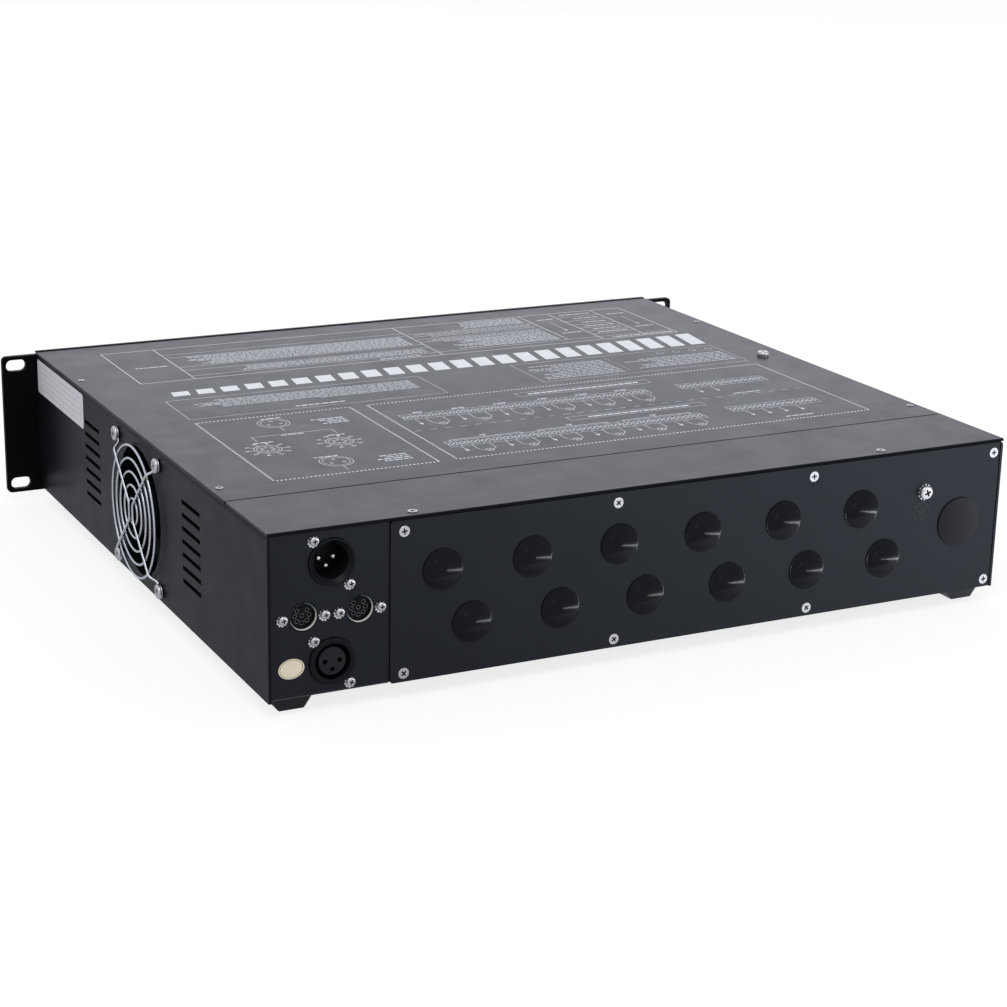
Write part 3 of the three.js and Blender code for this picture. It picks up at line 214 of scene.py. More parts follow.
def smooth(piece: Piece, degrees: float = 30.0) -> Piece:
    """Shades a piece smooth, with creases where faces meet at more than an angle.

    Args:
        piece: The piece.
        degrees: The angle.

    Returns:
        The piece.
    """
    pick(piece)
    bpy.ops.object.shade_smooth_by_angle(angle=math.radians(degrees))
    return piece


def named(piece: Piece, name: str) -> Piece:
    """Names a piece and its mesh."""
    piece.name = piece.data.name = name
    return piece


def apply_modifier(piece: Piece, kind: str, **settings: object) -> None:
    """Adds a modifier to a piece and applies it.

    Args:
        piece: The mesh object.
        kind: Blender's name of the modifier's type.
        **settings: Values of the modifier's own settings.
    """
    modifier = piece.modifiers.new(kind.title(), kind)
    for key, value in settings.items():
        setattr(modifier, key, value)
    pick(piece)
    bpy.ops.object.modifier_apply(modifier=modifier.name)


def carve(piece: Piece, tool: Piece, operation: str = "DIFFERENCE") -> Piece:
    """Cuts or joins a piece with a tool, and throws the tool away.

    Args:
        piece: The piece.
        tool: The tool.
        operation: DIFFERENCE to cut, UNION to join.

    Returns:
        The piece.
    """
    apply_modifier(piece, "BOOLEAN", object=tool, operation=operation, solver="EXACT")
    bpy.data.objects.remove(tool)
    return piece


def lathe(name: str, profile: Sequence[Point], steps: int = 48) -> Piece:
    """Turns a profile round the z axis, from one vertex that is extruded and spun.

    Args:
        name: Name of the piece.
        profile: Points (radius, height) in millimetres, from end to end. It ends on
            the axis, or where it starts.
        steps: Facets round the axis.

    Returns:
        The turned piece, with its faces outwards.
    """
    clear_selection()
    bpy.ops.mesh.primitive_plane_add(size=1.0, location=(0, 0, 0))
    piece = named(bpy.context.active_object, name)
    with editing(piece, whole=True):
        bpy.ops.mesh.merge(type="CENTER")
        last = Vector((profile[0][0], 0.0, profile[0][1]))
        bpy.ops.transform.translate(value=last)
        for radius, height in profile[1:]:
            place = Vector((radius, 0.0, height))
            bpy.ops.mesh.extrude_region_move(TRANSFORM_OT_translate={"value": place - last})
            last = place
        bpy.ops.mesh.select_all(action="SELECT")
        bpy.ops.mesh.spin(steps=steps, angle=math.tau, center=(0, 0, 0), axis=(0, 0, 1))
    fix_normals(piece)
    return piece


def arc(centre: Point, radius: float, start: float, end: float, count: int) -> list[Point]:
    """Gives points of an arc.

    Args:
        centre: Its centre.
        radius: Its radius.
        start: First angle in degrees.
        end: Last angle in degrees.
        count: How many points.

    Returns:
        The points, from the first angle to the last.
    """
    points = []
    for i in range(count):
        angle = math.radians(start + (end - start) * i / (count - 1))
        points.append((centre[0] + radius * math.cos(angle), centre[1] + radius * math.sin(angle)))
    return points


def block(name: str, size: Sequence[float], centre: Sequence[float], bevel: float = 0.0) -> Piece:
    """Makes a box with rounded edges.

    Args:
        name: Name of the piece.
        size: Lengths along the three axes.
        centre: Middle of the box.
        bevel: Radius of its edges, or zero.

    Returns:
        The box.
    """
    clear_selection()
    bpy.ops.mesh.primitive_cube_add(size=1.0, location=(0, 0, 0))
    piece = named(bpy.context.active_object, name)
    with editing(piece, whole=True):
        bpy.ops.transform.resize(value=tuple(size))
        bpy.ops.transform.translate(value=tuple(centre))
        if bevel > 0:
            bpy.ops.mesh.bevel(offset=bevel, segments=3, affect="EDGES")
    return piece


def slab(name: str, size: Point, height: float, corner: float, base: float = 0.0) -> Piece:
    """Makes a flat plate with rounded corners.

    Args:
        name: Name of the piece.
        size: Its width and length.
        height: Its thickness.
        corner: Radius of its corners.
        base: Height of its lower face.

    Returns:
        The plate, centred on the z axis.
    """
    piece = block(name, (size[0], size[1], height), (0, 0, base + height / 2))
    with editing(piece):
        select(piece, Part.EDGE, lambda edge: abs(edge.verts[0].co.z - edge.verts[1].co.z) > height / 2)
        bpy.ops.mesh.bevel(offset=corner, segments=8, affect="EDGES")
    return piece


def drum(name: str, radius: float, low: float, high: float, vertices: int = 48) -> Piece:
    """Makes a plain round bar along the z axis.

    Args:
        name: Name of the piece.
        radius: Its radius.
        low: Height of its lower end.
        high: Height of its upper end.
        vertices: Facets round it.

    Returns:
        The bar.
    """
    clear_selection()
    bpy.ops.mesh.primitive_cylinder_add(
        vertices=vertices, radius=radius, depth=high - low, location=(0, 0, 0)
    )
    piece = named(bpy.context.active_object, name)
    with editing(piece, whole=True):
        bpy.ops.transform.translate(value=(0, 0, (low + high) / 2))
    return piece


def drill(
    piece: Piece, places: Sequence[Point], radius: float, low: float, high: float, vertices: int
) -> None:
    """Drills the same hole at several places.

    Args:
        piece: The piece.
        places: Middles of the holes.
        radius: Their radius.
        low: Height of their lower end.
        high: Height of their upper end.
        vertices: Facets round each.
    """
    for place in places:
        hole = drum("hole", radius, low, high, vertices)
        hole.data.transform(Matrix.Translation((*place, 0)))
        carve(piece, hole)


def wire(name: str, path: Sequence[Sequence[float]], radius: float, closed: bool = False) -> Piece:
    """Sweeps a round wire along a path.

    Args:
        name: Name of the piece.
        path: Points of its centreline.
        radius: Radius of the wire.
        closed: Whether the path runs back to its start.

    Returns:
        The wire as a mesh.
    """
    data = bpy.data.curves.new(name, "CURVE")
    data.dimensions = "3D"
    data.bevel_depth = radius
    data.bevel_resolution = 3
    data.use_fill_caps = not closed
    spline = data.splines.new("POLY")
    spline.points.add(len(path) - 1)
    for point, place in zip(spline.points, path):
        point.co = (*place, 1.0)
    spline.use_cyclic_u = closed
    piece = bpy.data.objects.new(name, data)
    bpy.context.collection.objects.link(piece)
    pick(piece)
    bpy.ops.object.convert(target="MESH")
    return bpy.context.active_object


def rounded_path(corners: Sequence[Sequence[float]], radius: float, count: int = 7) -> list[Vector]:
    """Rounds the bends of a broken line.

    Args:
        corners: Its ends and bends.
        radius: Distance from each bend at which the rounding starts.
        count: Points on each bend.

    Returns:
        The points of the smooth path.
    """
    points = [Vector(corner) for corner in corners]
    path = [points[0]]
    for before, bend, after in zip(points, points[1:], points[2:]):
        reach = min(radius, (before - bend).length / 2, (after - bend).length / 2)
        first = bend + (before - bend).normalized() * reach
        last = bend + (after - bend).normalized() * reach
        for i in range(count):
            t = i / (count - 1)
            path.append(first * (1 - t) ** 2 + bend * 2 * t * (1 - t) + last * t**2)
    path.append(points[-1])
    return path


def combine(name: str, pieces: Sequence[Piece]) -> Piece:
    """Joins several meshes into one piece.

    Args:
        name: Name of the piece.
        pieces: The meshes.

    Returns:
        The piece.
    """
    pick(*pieces)
    bpy.ops.object.join()
    return named(bpy.context.active_object, name)


def placed(master: Piece, name: str, matrix: Matrix) -> Piece:
    """Copies a master to its place, with the place in the copy's own mesh.

    Args:
        master: The piece modelled at the origin, in millimetres.
        name: Name of the copy.
        matrix: From the master's millimetres to metres in the row frame.

    Returns:
        The copy, whose object sits at the origin.
    """
    copy = master.copy()
    copy.data = master.data.copy()
    copy.data.transform(matrix)
    bpy.context.collection.objects.link(copy)
    return named(copy, name)


def discard(*masters: Piece) -> None:
    """Throws masters away once their copies are placed."""
    for each in masters:
        bpy.data.objects.remove(each)


# Shader groups that several finishes share


def add_node(
    tree: Tree, kind: str, inputs: dict[int | str, object] | None = None, **settings: object
) -> Node:
    """Adds a shader node, and sets or wires its inputs.

    Args:
        tree: The material, world or group that it joins.
        kind: Blender's name of its type, after "ShaderNode".
        inputs: By name or number, a plain value or the socket that feeds it.
        **settings: Values of the node's own settings.

    Returns:
        The node.
    """
    node = tree.nodes.new(f"ShaderNode{kind}")
    for key, value in settings.items():
        setattr(node, key, value)
    for key, value in (inputs or {}).items():
        if isinstance(value, Socket):
            tree.links.new(value, node.inputs[key])
        else:
            node.inputs[key].default_value = value
    return node


def blend(tree: Tree, share: Socket, first: object, last: object) -> Socket:
    """Mixes a first and a last colour, each plain or a socket, by a share."""
    ends = [end if isinstance(end, Socket) else (*end, 1.0) for end in (first, last)]
    return add_node(tree, "Mix", {0: share, 6: ends[0], 7: ends[1]}, data_type="RGBA").outputs[2]


class Effect(Enum):
    """Surface effects, each a node group that gives values over the surface."""

    GRAIN = "fine_grain"
    MOTTLE = "slow_mottle"
    BRUSHING = "brushed_lines"


OCTAVES = {Effect.GRAIN: 2.0, Effect.MOTTLE: 4.0, Effect.BRUSHING: 1.0}
BRUSHED_STRETCH = (0.02, 1.0, 1.0)


def effect_group(effect: Effect) -> Tree:
    """Builds a shared effect once, and gives the same group afterwards.

    Args:
        effect: The effect that is wanted.

    Returns:
        A group with the outputs Height, which feeds a Bump node, and Value.
    """
    found = bpy.data.node_groups.get(effect.value)
    if found:
        return found
    tree = bpy.data.node_groups.new(effect.value, "ShaderNodeTree")
    for name in ("Scale", "Low", "High"):
        tree.interface.new_socket(name, in_out="INPUT", socket_type="NodeSocketFloat")
    for name in ("Height", "Value"):
        tree.interface.new_socket(name, in_out="OUTPUT", socket_type="NodeSocketFloat")
    given, wanted = tree.nodes.new("NodeGroupInput"), tree.nodes.new("NodeGroupOutput")
    stretch = BRUSHED_STRETCH if effect is Effect.BRUSHING else (1.0, 1.0, 1.0)
    place = add_node(tree, "TexCoord")
    mapping = add_node(tree, "Mapping", {"Vector": place.outputs["Object"], "Scale": stretch})
    noise = add_node(tree, "TexNoise", {
        "Vector": mapping.outputs["Vector"], "Scale": given.outputs["Scale"], "Detail": OCTAVES[effect],
    })
    spread = add_node(tree, "MapRange", {
        "Value": noise.outputs["Fac"], "To Min": given.outputs["Low"], "To Max": given.outputs["High"],
    })
    tree.links.new(noise.outputs["Fac"], wanted.inputs["Height"])
    tree.links.new(spread.outputs["Result"], wanted.inputs["Value"])
    return tree


def use_effect(tree: Tree, effect: Effect, size: float, low: float, high: float) -> Node:
    """Places a shared effect, its pattern sized in millimetres, and spreads it from low to high."""
    inputs = {"Scale": 1.0 / (size * MM), "Low": low, "High": high}
    return add_node(tree, "Group", inputs, node_tree=effect_group(effect))


# Finishes

DRIFT_SPREAD = (-0.4, 1.4)
MARKS_PER_DRIFT = 2.3
LEAST_ROUGHNESS = 0.02
# Painted shade in recesses: tone and steepness of the ambient-occlusion darkening.
RECESS_SHADE_TONE = (0.012, 0.012, 0.013)
RECESS_SHADE_STEEPNESS = 3.0


@dataclass(frozen=True)
class Finish:
    """A finish with its colour, gloss and grain. Sizes are in millimetres.

    Attributes:
        shade: Share by which the colour drifts both ways.
        mottle: Size of the drift.
        gloss_range: How far the roughness drifts both ways.
        grain: Size of the fine grain.
        relief: Height of the grain.
        effect: The kind of grain.
        tint: Colour of the shine.
        recess_shade_reach: Reach within which recesses get painted shade, or zero.
    """

    name: str
    colour: Colour
    roughness: float
    metallic: float = 0.0
    ior: float = 1.5
    shade: float = 0.15
    mottle: float = 40.0
    gloss_range: float = 0.06
    grain: float = 0.35
    relief: float = 0.02
    effect: Effect = Effect.GRAIN
    tint: Colour = (1.0, 1.0, 1.0)
    recess_shade_reach: float = 0.0
    transmission: float = 0.0

    def material(self) -> bpy.types.Material:
        """Builds the material, or gives the one already built.

        Returns:
            The material.
        """
        found = bpy.data.materials.get(self.name)
        if found:
            return found
        made = bpy.data.materials.new(self.name)
        made.use_nodes = True
        self.dress(made.node_tree, made.node_tree.nodes["Principled BSDF"])
        return made

    def dress(self, tree: Tree, shader: Node) -> None:
        """Wires colour, gloss and relief into the shader.

        Args:
            tree: The material's nodes.
            shader: Its Principled BSDF.
        """
        shader.inputs["Metallic"].default_value = self.metallic
        shader.inputs["IOR"].default_value = self.ior
        shader.inputs["Specular Tint"].default_value = (*self.tint, 1.0)
        shader.inputs["Transmission Weight"].default_value = self.transmission
        self.colour_nodes(tree, shader)
        self.gloss_nodes(tree, shader)
        self.relief_nodes(tree, shader)

    def colour_nodes(self, tree: Tree, shader: Node) -> None:
        """Lets the colour drift slowly between a darker and a lighter tone.

        Args:
            tree: The material's nodes.
            shader: Its Principled BSDF.
        """
        drift = use_effect(tree, Effect.MOTTLE, self.mottle, *DRIFT_SPREAD)
        dark = [c * (1 - self.shade) for c in self.colour]
        light = [min(1.0, c * (1 + self.shade)) for c in self.colour]
        colour = blend(tree, drift.outputs["Value"], dark, light)
        # Painted shade: recesses are darkened by ambient occlusion.
        if self.recess_shade_reach:
            colour = self.paint_recess_shade(tree, colour)
        tree.links.new(colour, shader.inputs["Base Color"])

    def paint_recess_shade(self, tree: Tree, colour: Socket) -> Socket:
        """Paints shade into recesses no wider than a given reach, darkening the colour by ambient occlusion.

        Args:
            tree: The material's nodes.
            colour: The colour without the painted shade.

        Returns:
            The colour with the painted shade.
        """
        nearby = add_node(tree, "AmbientOcclusion", {"Distance": self.recess_shade_reach * MM}, samples=8)
        steep = add_node(tree, "Math", {0: nearby.outputs["AO"], 1: RECESS_SHADE_STEEPNESS}, operation="POWER")
        return blend(tree, steep.outputs[0], RECESS_SHADE_TONE, colour)

    def gloss_nodes(self, tree: Tree, shader: Node) -> None:
        """Lets the roughness vary with handling marks.

        Args:
            tree: The material's nodes.
            shader: Its Principled BSDF.
        """
        low = max(LEAST_ROUGHNESS, self.roughness - self.gloss_range)
        high = self.roughness + self.gloss_range
        marks = use_effect(tree, Effect.MOTTLE, self.mottle / MARKS_PER_DRIFT, low, high)
        tree.links.new(marks.outputs["Value"], shader.inputs["Roughness"])

    def relief_nodes(self, tree: Tree, shader: Node) -> None:
        """Gives the surface its fine grain as bump.

        Args:
            tree: The material's nodes.
            shader: Its Principled BSDF.
        """
        grain = use_effect(tree, self.effect, self.grain, 0.0, 1.0)
        inputs = {"Strength": 1.0, "Distance": self.relief * MM, "Height": grain.outputs["Height"]}
        tree.links.new(add_node(tree, "Bump", inputs).outputs["Normal"], shader.inputs["Normal"])


@dataclass(frozen=True)
class RearShadedFinish(Finish):
    """A coat on a sheet, with painted shade on its faces towards the rear, which shine less and darken.

    Attributes:
        rear_shade_shine: Share of the shine that is left in the painted shade.
        rear_shade_colour: Colour of the painted shade.
        rear_shade_slopes: Parts of the normal towards the rear at which the painted shade starts and is full.
    """

    rear_shade_shine: float = 0.12
    rear_shade_colour: Colour = (0.0080, 0.0094, 0.0125)
    rear_shade_slopes: Point = (0.25, 0.75)

    def dress(self, tree: Tree, shader: Node) -> None:
        """Adds the coat, then paints shade on what faces the rear: less shine and a darker colour.

        Args:
            tree: The material's nodes.
            shader: Its Principled BSDF.
        """
        super().dress(tree, shader)
        # Painted shade: faces towards the rear lose shine and take the darker colour, standing in for the
        # shade at the covers' rear edges.
        geometry = add_node(tree, "NewGeometry")
        parts = add_node(tree, "SeparateXYZ", {"Vector": geometry.outputs["Normal"]})
        low, high = self.rear_shade_slopes
        share = add_node(tree, "MapRange", {"Value": parts.outputs["Y"], "From Min": low, "From Max": high})
        edge = share.outputs["Result"]
        light = add_node(tree, "MapRange", {"Value": edge, "To Min": 0.5, "To Max": 0.5 * self.rear_shade_shine})
        tree.links.new(light.outputs["Result"], shader.inputs["Specular IOR Level"])
        coat = shader.inputs["Base Color"].links[0].from_socket
        tree.links.new(blend(tree, edge, coat, self.rear_shade_colour), shader.inputs["Base Color"])


@dataclass(frozen=True)
class LeaningFinish(Finish):
    """A soft moulding that sits a little tipped in its hole, so that its shading leans upwards."""

    lean: float = 0.30

    def relief_nodes(self, tree: Tree, shader: Node) -> None:
        """Adds the fine grain, on a normal that leans.

        Args:
            tree: The material's nodes.
            shader: Its Principled BSDF.
        """
        super().relief_nodes(tree, shader)
        geometry = add_node(tree, "NewGeometry")
        lean = {0: geometry.outputs["Normal"], 1: (0.0, 0.0, self.lean)}
        tipped = add_node(tree, "VectorMath", lean, operation="ADD")
        unit = add_node(tree, "VectorMath", {0: tipped.outputs["Vector"]}, operation="NORMALIZE")
        bump = shader.inputs["Normal"].links[0].from_node
        tree.links.new(unit.outputs["Vector"], bump.inputs["Normal"])


CASE_BLACK = Finish(
    "case_powder_coat", (0.0080, 0.0094, 0.0125), 0.38,
    ior=1.21, tint=(0.86, 0.93, 1.0), relief=0.008, grain=0.5,
)
# Painted shade: the covers' coat shines less and darkens on faces towards the rear.
COVER_BLACK_REAR_SHADE = RearShadedFinish(**{**vars(CASE_BLACK), "name": "cover_powder_coat"})
# Lit and shaded copies of the one case coat: the fan side's is darker and shines less, the rear sheets'
# shines more, to paint how light falls on each face.
SIDE_COAT_SHADED_COPY = replace(CASE_BLACK, name="side_powder_coat", ior=1.16, colour=(0.0062, 0.0070, 0.0085))
REAR_COAT_SHEEN_COPY = replace(CASE_BLACK, name="rear_powder_coat", ior=1.30, colour=(0.0060, 0.0070, 0.0095))
# The front panel's own matte black, made darker still: partly its real tone, partly painted shade for its ear
# in shadow.
PANEL_BLACK_AND_SHADE = Finish("panel_powder_coat", (0.0030, 0.0032, 0.0040), 0.42, ior=1.12, relief=0.010, grain=0.5)
GROMMET_RUBBER = LeaningFinish(
    "soft_rubber", (0.0036, 0.0042, 0.0056), 0.115, ior=1.20, gloss_range=0.01, relief=0.0004, grain=0.5
)
FOOT_RUBBER = Finish("tread_rubber", (0.0085, 0.0090, 0.0105), 0.62, ior=1.4, relief=0.03, grain=0.5)
FAN_MOULDING = Finish("fan_moulding", (0.0035, 0.0037, 0.0042), 0.45, ior=1.12, relief=0.010, grain=0.3)
BLACK_MOULDING = Finish("black_moulding", (0.0065, 0.0070, 0.0085), 0.36, ior=1.25, relief=0.010, grain=0.3)
SOCKET_MOULDING = replace(BLACK_MOULDING, name="socket_moulding", colour=(0.0045, 0.0050, 0.0064), ior=1.21)
PLUG_MOULDING = Finish("plug_moulding", (0.0060, 0.0074, 0.0118), 0.50, ior=1.26, relief=0.008, grain=0.4)
SOCKET_INSERT = Finish("socket_insert", (0.0098, 0.0104, 0.0125), 0.5, ior=1.28, relief=0.02, grain=0.3)
CONTROL_INSERT = replace(
    SOCKET_INSERT, name="control_insert", colour=(0.0040, 0.0044, 0.0054), ior=1.19, relief=0.10, grain=0.9
)
NICKEL = Finish(
    "nickel_plate", (0.60, 0.58, 0.53), 0.26, metallic=1.0, shade=0.06, mottle=3.0, relief=0.003, grain=0.2
)
CONTACT_SLEEVE = replace(NICKEL, name="contact_sleeve", colour=(0.20, 0.20, 0.21), roughness=0.4)
PLATED_MOUTH = replace(NICKEL, name="plated_mouth", colour=(0.76, 0.74, 0.69), roughness=0.42, metallic=0.35)
# Painted shade: this zinc and its copies darken within 1 mm in the screws' cross recesses.
ZINC = Finish(
    "zinc_screw", (0.50, 0.495, 0.49), 0.28,
    metallic=1.0, shade=0.05, mottle=2.0, relief=0.004, grain=0.25, recess_shade_reach=1.0,
)
# Painted shadow: near-black finish for the strip over the covers' seam.
PAINTED_SEAM_SHADOW = Finish("seam_shadow", (0.0012, 0.0012, 0.0015), 0.9, ior=1.02)
COVER_ZINC = replace(ZINC, name="cover_screw_zinc", colour=(0.27, 0.26, 0.26), roughness=0.36)
WASHER_STEEL = replace(ZINC, name="washer_steel", colour=(0.62, 0.62, 0.63), roughness=0.38, recess_shade_reach=0.0)
WIRE_CHROME = Finish(
    "guard_wire", (0.52, 0.53, 0.55), 0.24, metallic=1.0, shade=0.05, mottle=6.0, relief=0.003, grain=0.3
)
ALUMINIUM = Finish(
    "extruded_aluminium", (0.62, 0.63, 0.65), 0.38, metallic=1.0, shade=0.06, relief=0.006, grain=0.4,
    effect=Effect.BRUSHING,
)
LAMINATE = Finish("circuit_laminate", (0.020, 0.115, 0.050), 0.36, shade=0.25, mottle=12.0, relief=0.01)
WINDING = Finish(
    "enamelled_winding", (0.42, 0.16, 0.06), 0.30, metallic=0.7, mottle=5.0, relief=0.12, grain=1.1
)
TERMINAL = Finish("terminal_moulding", (0.028, 0.21, 0.085), 0.42, mottle=20.0, relief=0.015)
BREAKER_GREY = Finish("breaker_moulding", (0.60, 0.61, 0.60), 0.46, shade=0.04, relief=0.012, grain=0.3)
BLACK_ZINC = replace(
    ZINC, name="black_screw", colour=(0.030, 0.031, 0.034), roughness=0.34, metallic=0.8, recess_shade_reach=0.0
)
LEVER_BLACK = Finish("lever_moulding", (0.014, 0.0145, 0.016), 0.36, relief=0.008, grain=0.3)
INK_WHITE = Finish("printing_ink", (0.74, 0.76, 0.80), 0.55, shade=0.10, mottle=3.0, relief=0.004, grain=0.15)
INK_GREY = replace(INK_WHITE, name="faint_ink", colour=(0.64, 0.66, 0.73), shade=0.12)
INK_BLACK = Finish("gloss_black_ink", (0.004, 0.0042, 0.005), 0.30, ior=1.4, relief=0.002)
LABEL_PAPER = Finish("label_film", (0.80, 0.80, 0.84), 0.42, shade=0.03, mottle=8.0, relief=0.004, grain=0.5)
LABEL_RULE = Finish("label_rule", (0.42, 0.42, 0.50), 0.5, shade=0.05)
STICKER_CREAM = Finish(
    "sticker_film", (0.84, 0.76, 0.58), 0.40, shade=0.05, mottle=3.0, relief=0.006, grain=0.3
)
STICKER_RING = Finish("sticker_ring", (0.20, 0.16, 0.10), 0.45, shade=0.1)
DIGIT_RED = Finish("unlit_digit", (0.30, 0.07, 0.06), 0.5, shade=0.05)
RED_WINDOW = Finish(
    "red_window", (0.24, 0.006, 0.008), 0.08, ior=1.22, shade=0.05, relief=0.001, transmission=0.8
)


def dress(piece: Piece, finish: Finish) -> None:
    """Gives a piece its finish.

    Args:
        piece: A new piece or a node of the frame.
        finish: The finish all over it.
    """
    material = finish.material()
    if piece.material_slots:
        for each in piece.material_slots:
            each.material = material
    else:
        piece.data.materials.append(material)


def finished(
    piece: Piece, finish: Finish, body: str = BODY, stands_for: Sequence[str] = ()
) -> None:
    """Dresses a new piece, sets it on its body and reports it.

    Args:
        piece: The finished mesh, in place.
        finish: Its finish.
        body: The body that carries it.
        stands_for: Nodes of the frame that it replaces.
    """
    dress(piece, finish)
    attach(piece, body)
    if stands_for:
        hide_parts(*stands_for)
    LOG.info("%s on %s, %d faces", piece.name, body, len(piece.data.polygons))


def install(
    master: Piece, name: str, place: Matrix, finish: Finish, body: str = BODY,
    stands_for: Sequence[str] = (),
) -> None:
    """Sets a dressed copy of a master in its place, on its body."""
    finished(placed(master, name, place), finish, body, stands_for)


# Screws


@dataclass
class ScrewKit:
    """Masters of the screws and toothed washers, in millimetres along the z axis."""

    steps: int = 32
    recess_width: float = 0.33
    recess_reach: float = 0.60
    teeth: int = 10

    def cross(self, radius: float, depth: float, top: float) -> Piece:
        """Makes the cutter of a cross recess.

        Args:
            radius: Radius of the head.
            depth: How deep the cross goes.
            top: Height of the head's top.

        Returns:
            The cutter.
        """
        reach = radius * self.recess_reach
        width = radius * self.recess_width
        arms = []
        for i, size in enumerate(((2 * reach, width), (width, 2 * reach))):
            arm = block(f"arm_{i}", (*size, depth + 1.0), (0, 0, top - depth + (depth + 1.0) / 2))
            with editing(arm):
                select(arm, Part.FACE, lambda face: face.normal.z < -0.5)
                bpy.ops.transform.resize(value=(0.62, 0.62, 1.0))
            arms.append(arm)
        return carve(arms[0], arms[1], "UNION")

    def pan_head(self, radius: float, height: float) -> Piece:
        """Makes a domed head with a cross recess and a short shank below it.

        Args:
            radius: Radius of the head.
            height: Height of the head.

        Returns:
            The screw.
        """
        shank = radius * 0.5
        crown = arc((radius - height * 0.62, height * 0.38), height * 0.62, 0, 80, 6)
        top = [(radius * 0.3, height), (0, height)]
        profile = [(0, -1.5), (shank, -1.5), (shank, 0), (radius, 0), *crown, *top]
        head = lathe("pan_head", profile, self.steps)
        carve(head, self.cross(radius, height * 0.75, height))
        return smooth(head)

    def flat_head(self, radius: float, proud: float) -> Piece:
        """Makes a countersunk head, a little proud of its sheet, with a cross recess.

        Args:
            radius: Radius of the head.
            proud: How far it stands over its sheet.

        Returns:
            The screw.
        """
        profile = [
            (0, -1.4), (radius * 0.45, -1.4), (radius - 0.25, -0.45), (radius, -0.1), (radius, proud - 0.12),
            (radius - 0.15, proud), (0, proud),
        ]
        head = lathe("flat_head", profile, self.steps)
        carve(head, self.cross(radius * 1.12, 1.0, proud))
        return smooth(head)

    def star_washer(self, inner: float, outer: float, thick: float) -> Piece:
        """Makes a lock washer whose outer teeth are twisted out of its plane.

        Args:
            inner: Radius of its hole.
            outer: Radius at the tips of its teeth.
            thick: Thickness of its metal.

        Returns:
            The washer, with its lower face at zero.
        """
        root = inner + (outer - inner) * 0.68
        ring = [(inner, 0), (root, 0), (root, thick), (inner, thick), (inner, 0)]
        washer = lathe("star_washer", ring, self.teeth * 2)
        step = math.tau / (self.teeth * 2)

        def is_tooth(face: bmesh.types.BMFace) -> bool:
            """Tells the rim faces of every other sector.

            Args:
                face: A face of the washer.

            Returns:
                Whether a tooth is drawn out of it.
            """
            middle = face.calc_center_median().xy
            sector = int((math.atan2(middle.y, middle.x) % math.tau) / step)
            return sector % 2 == 0 and face.normal.xy.dot(middle.normalized()) > 0.8

        with editing(washer):
            select(washer, Part.FACE, is_tooth)
            bpy.ops.mesh.extrude_faces_move(TRANSFORM_OT_shrink_fatten={"value": outer - root})
            bpy.ops.transform.resize(value=(1.0, 1.0, 0.7))
            bpy.ops.mesh.select_all(action="DESELECT")
        for vertex in washer.data.vertices:
            if vertex.co.xy.length > outer - 0.15:
                across = math.atan2(vertex.co.y, vertex.co.x) / step % 1.0
                vertex.co.z += 0.5 * thick * (1 if across > 0.5 else -0.2)
        return smooth(washer, 25)


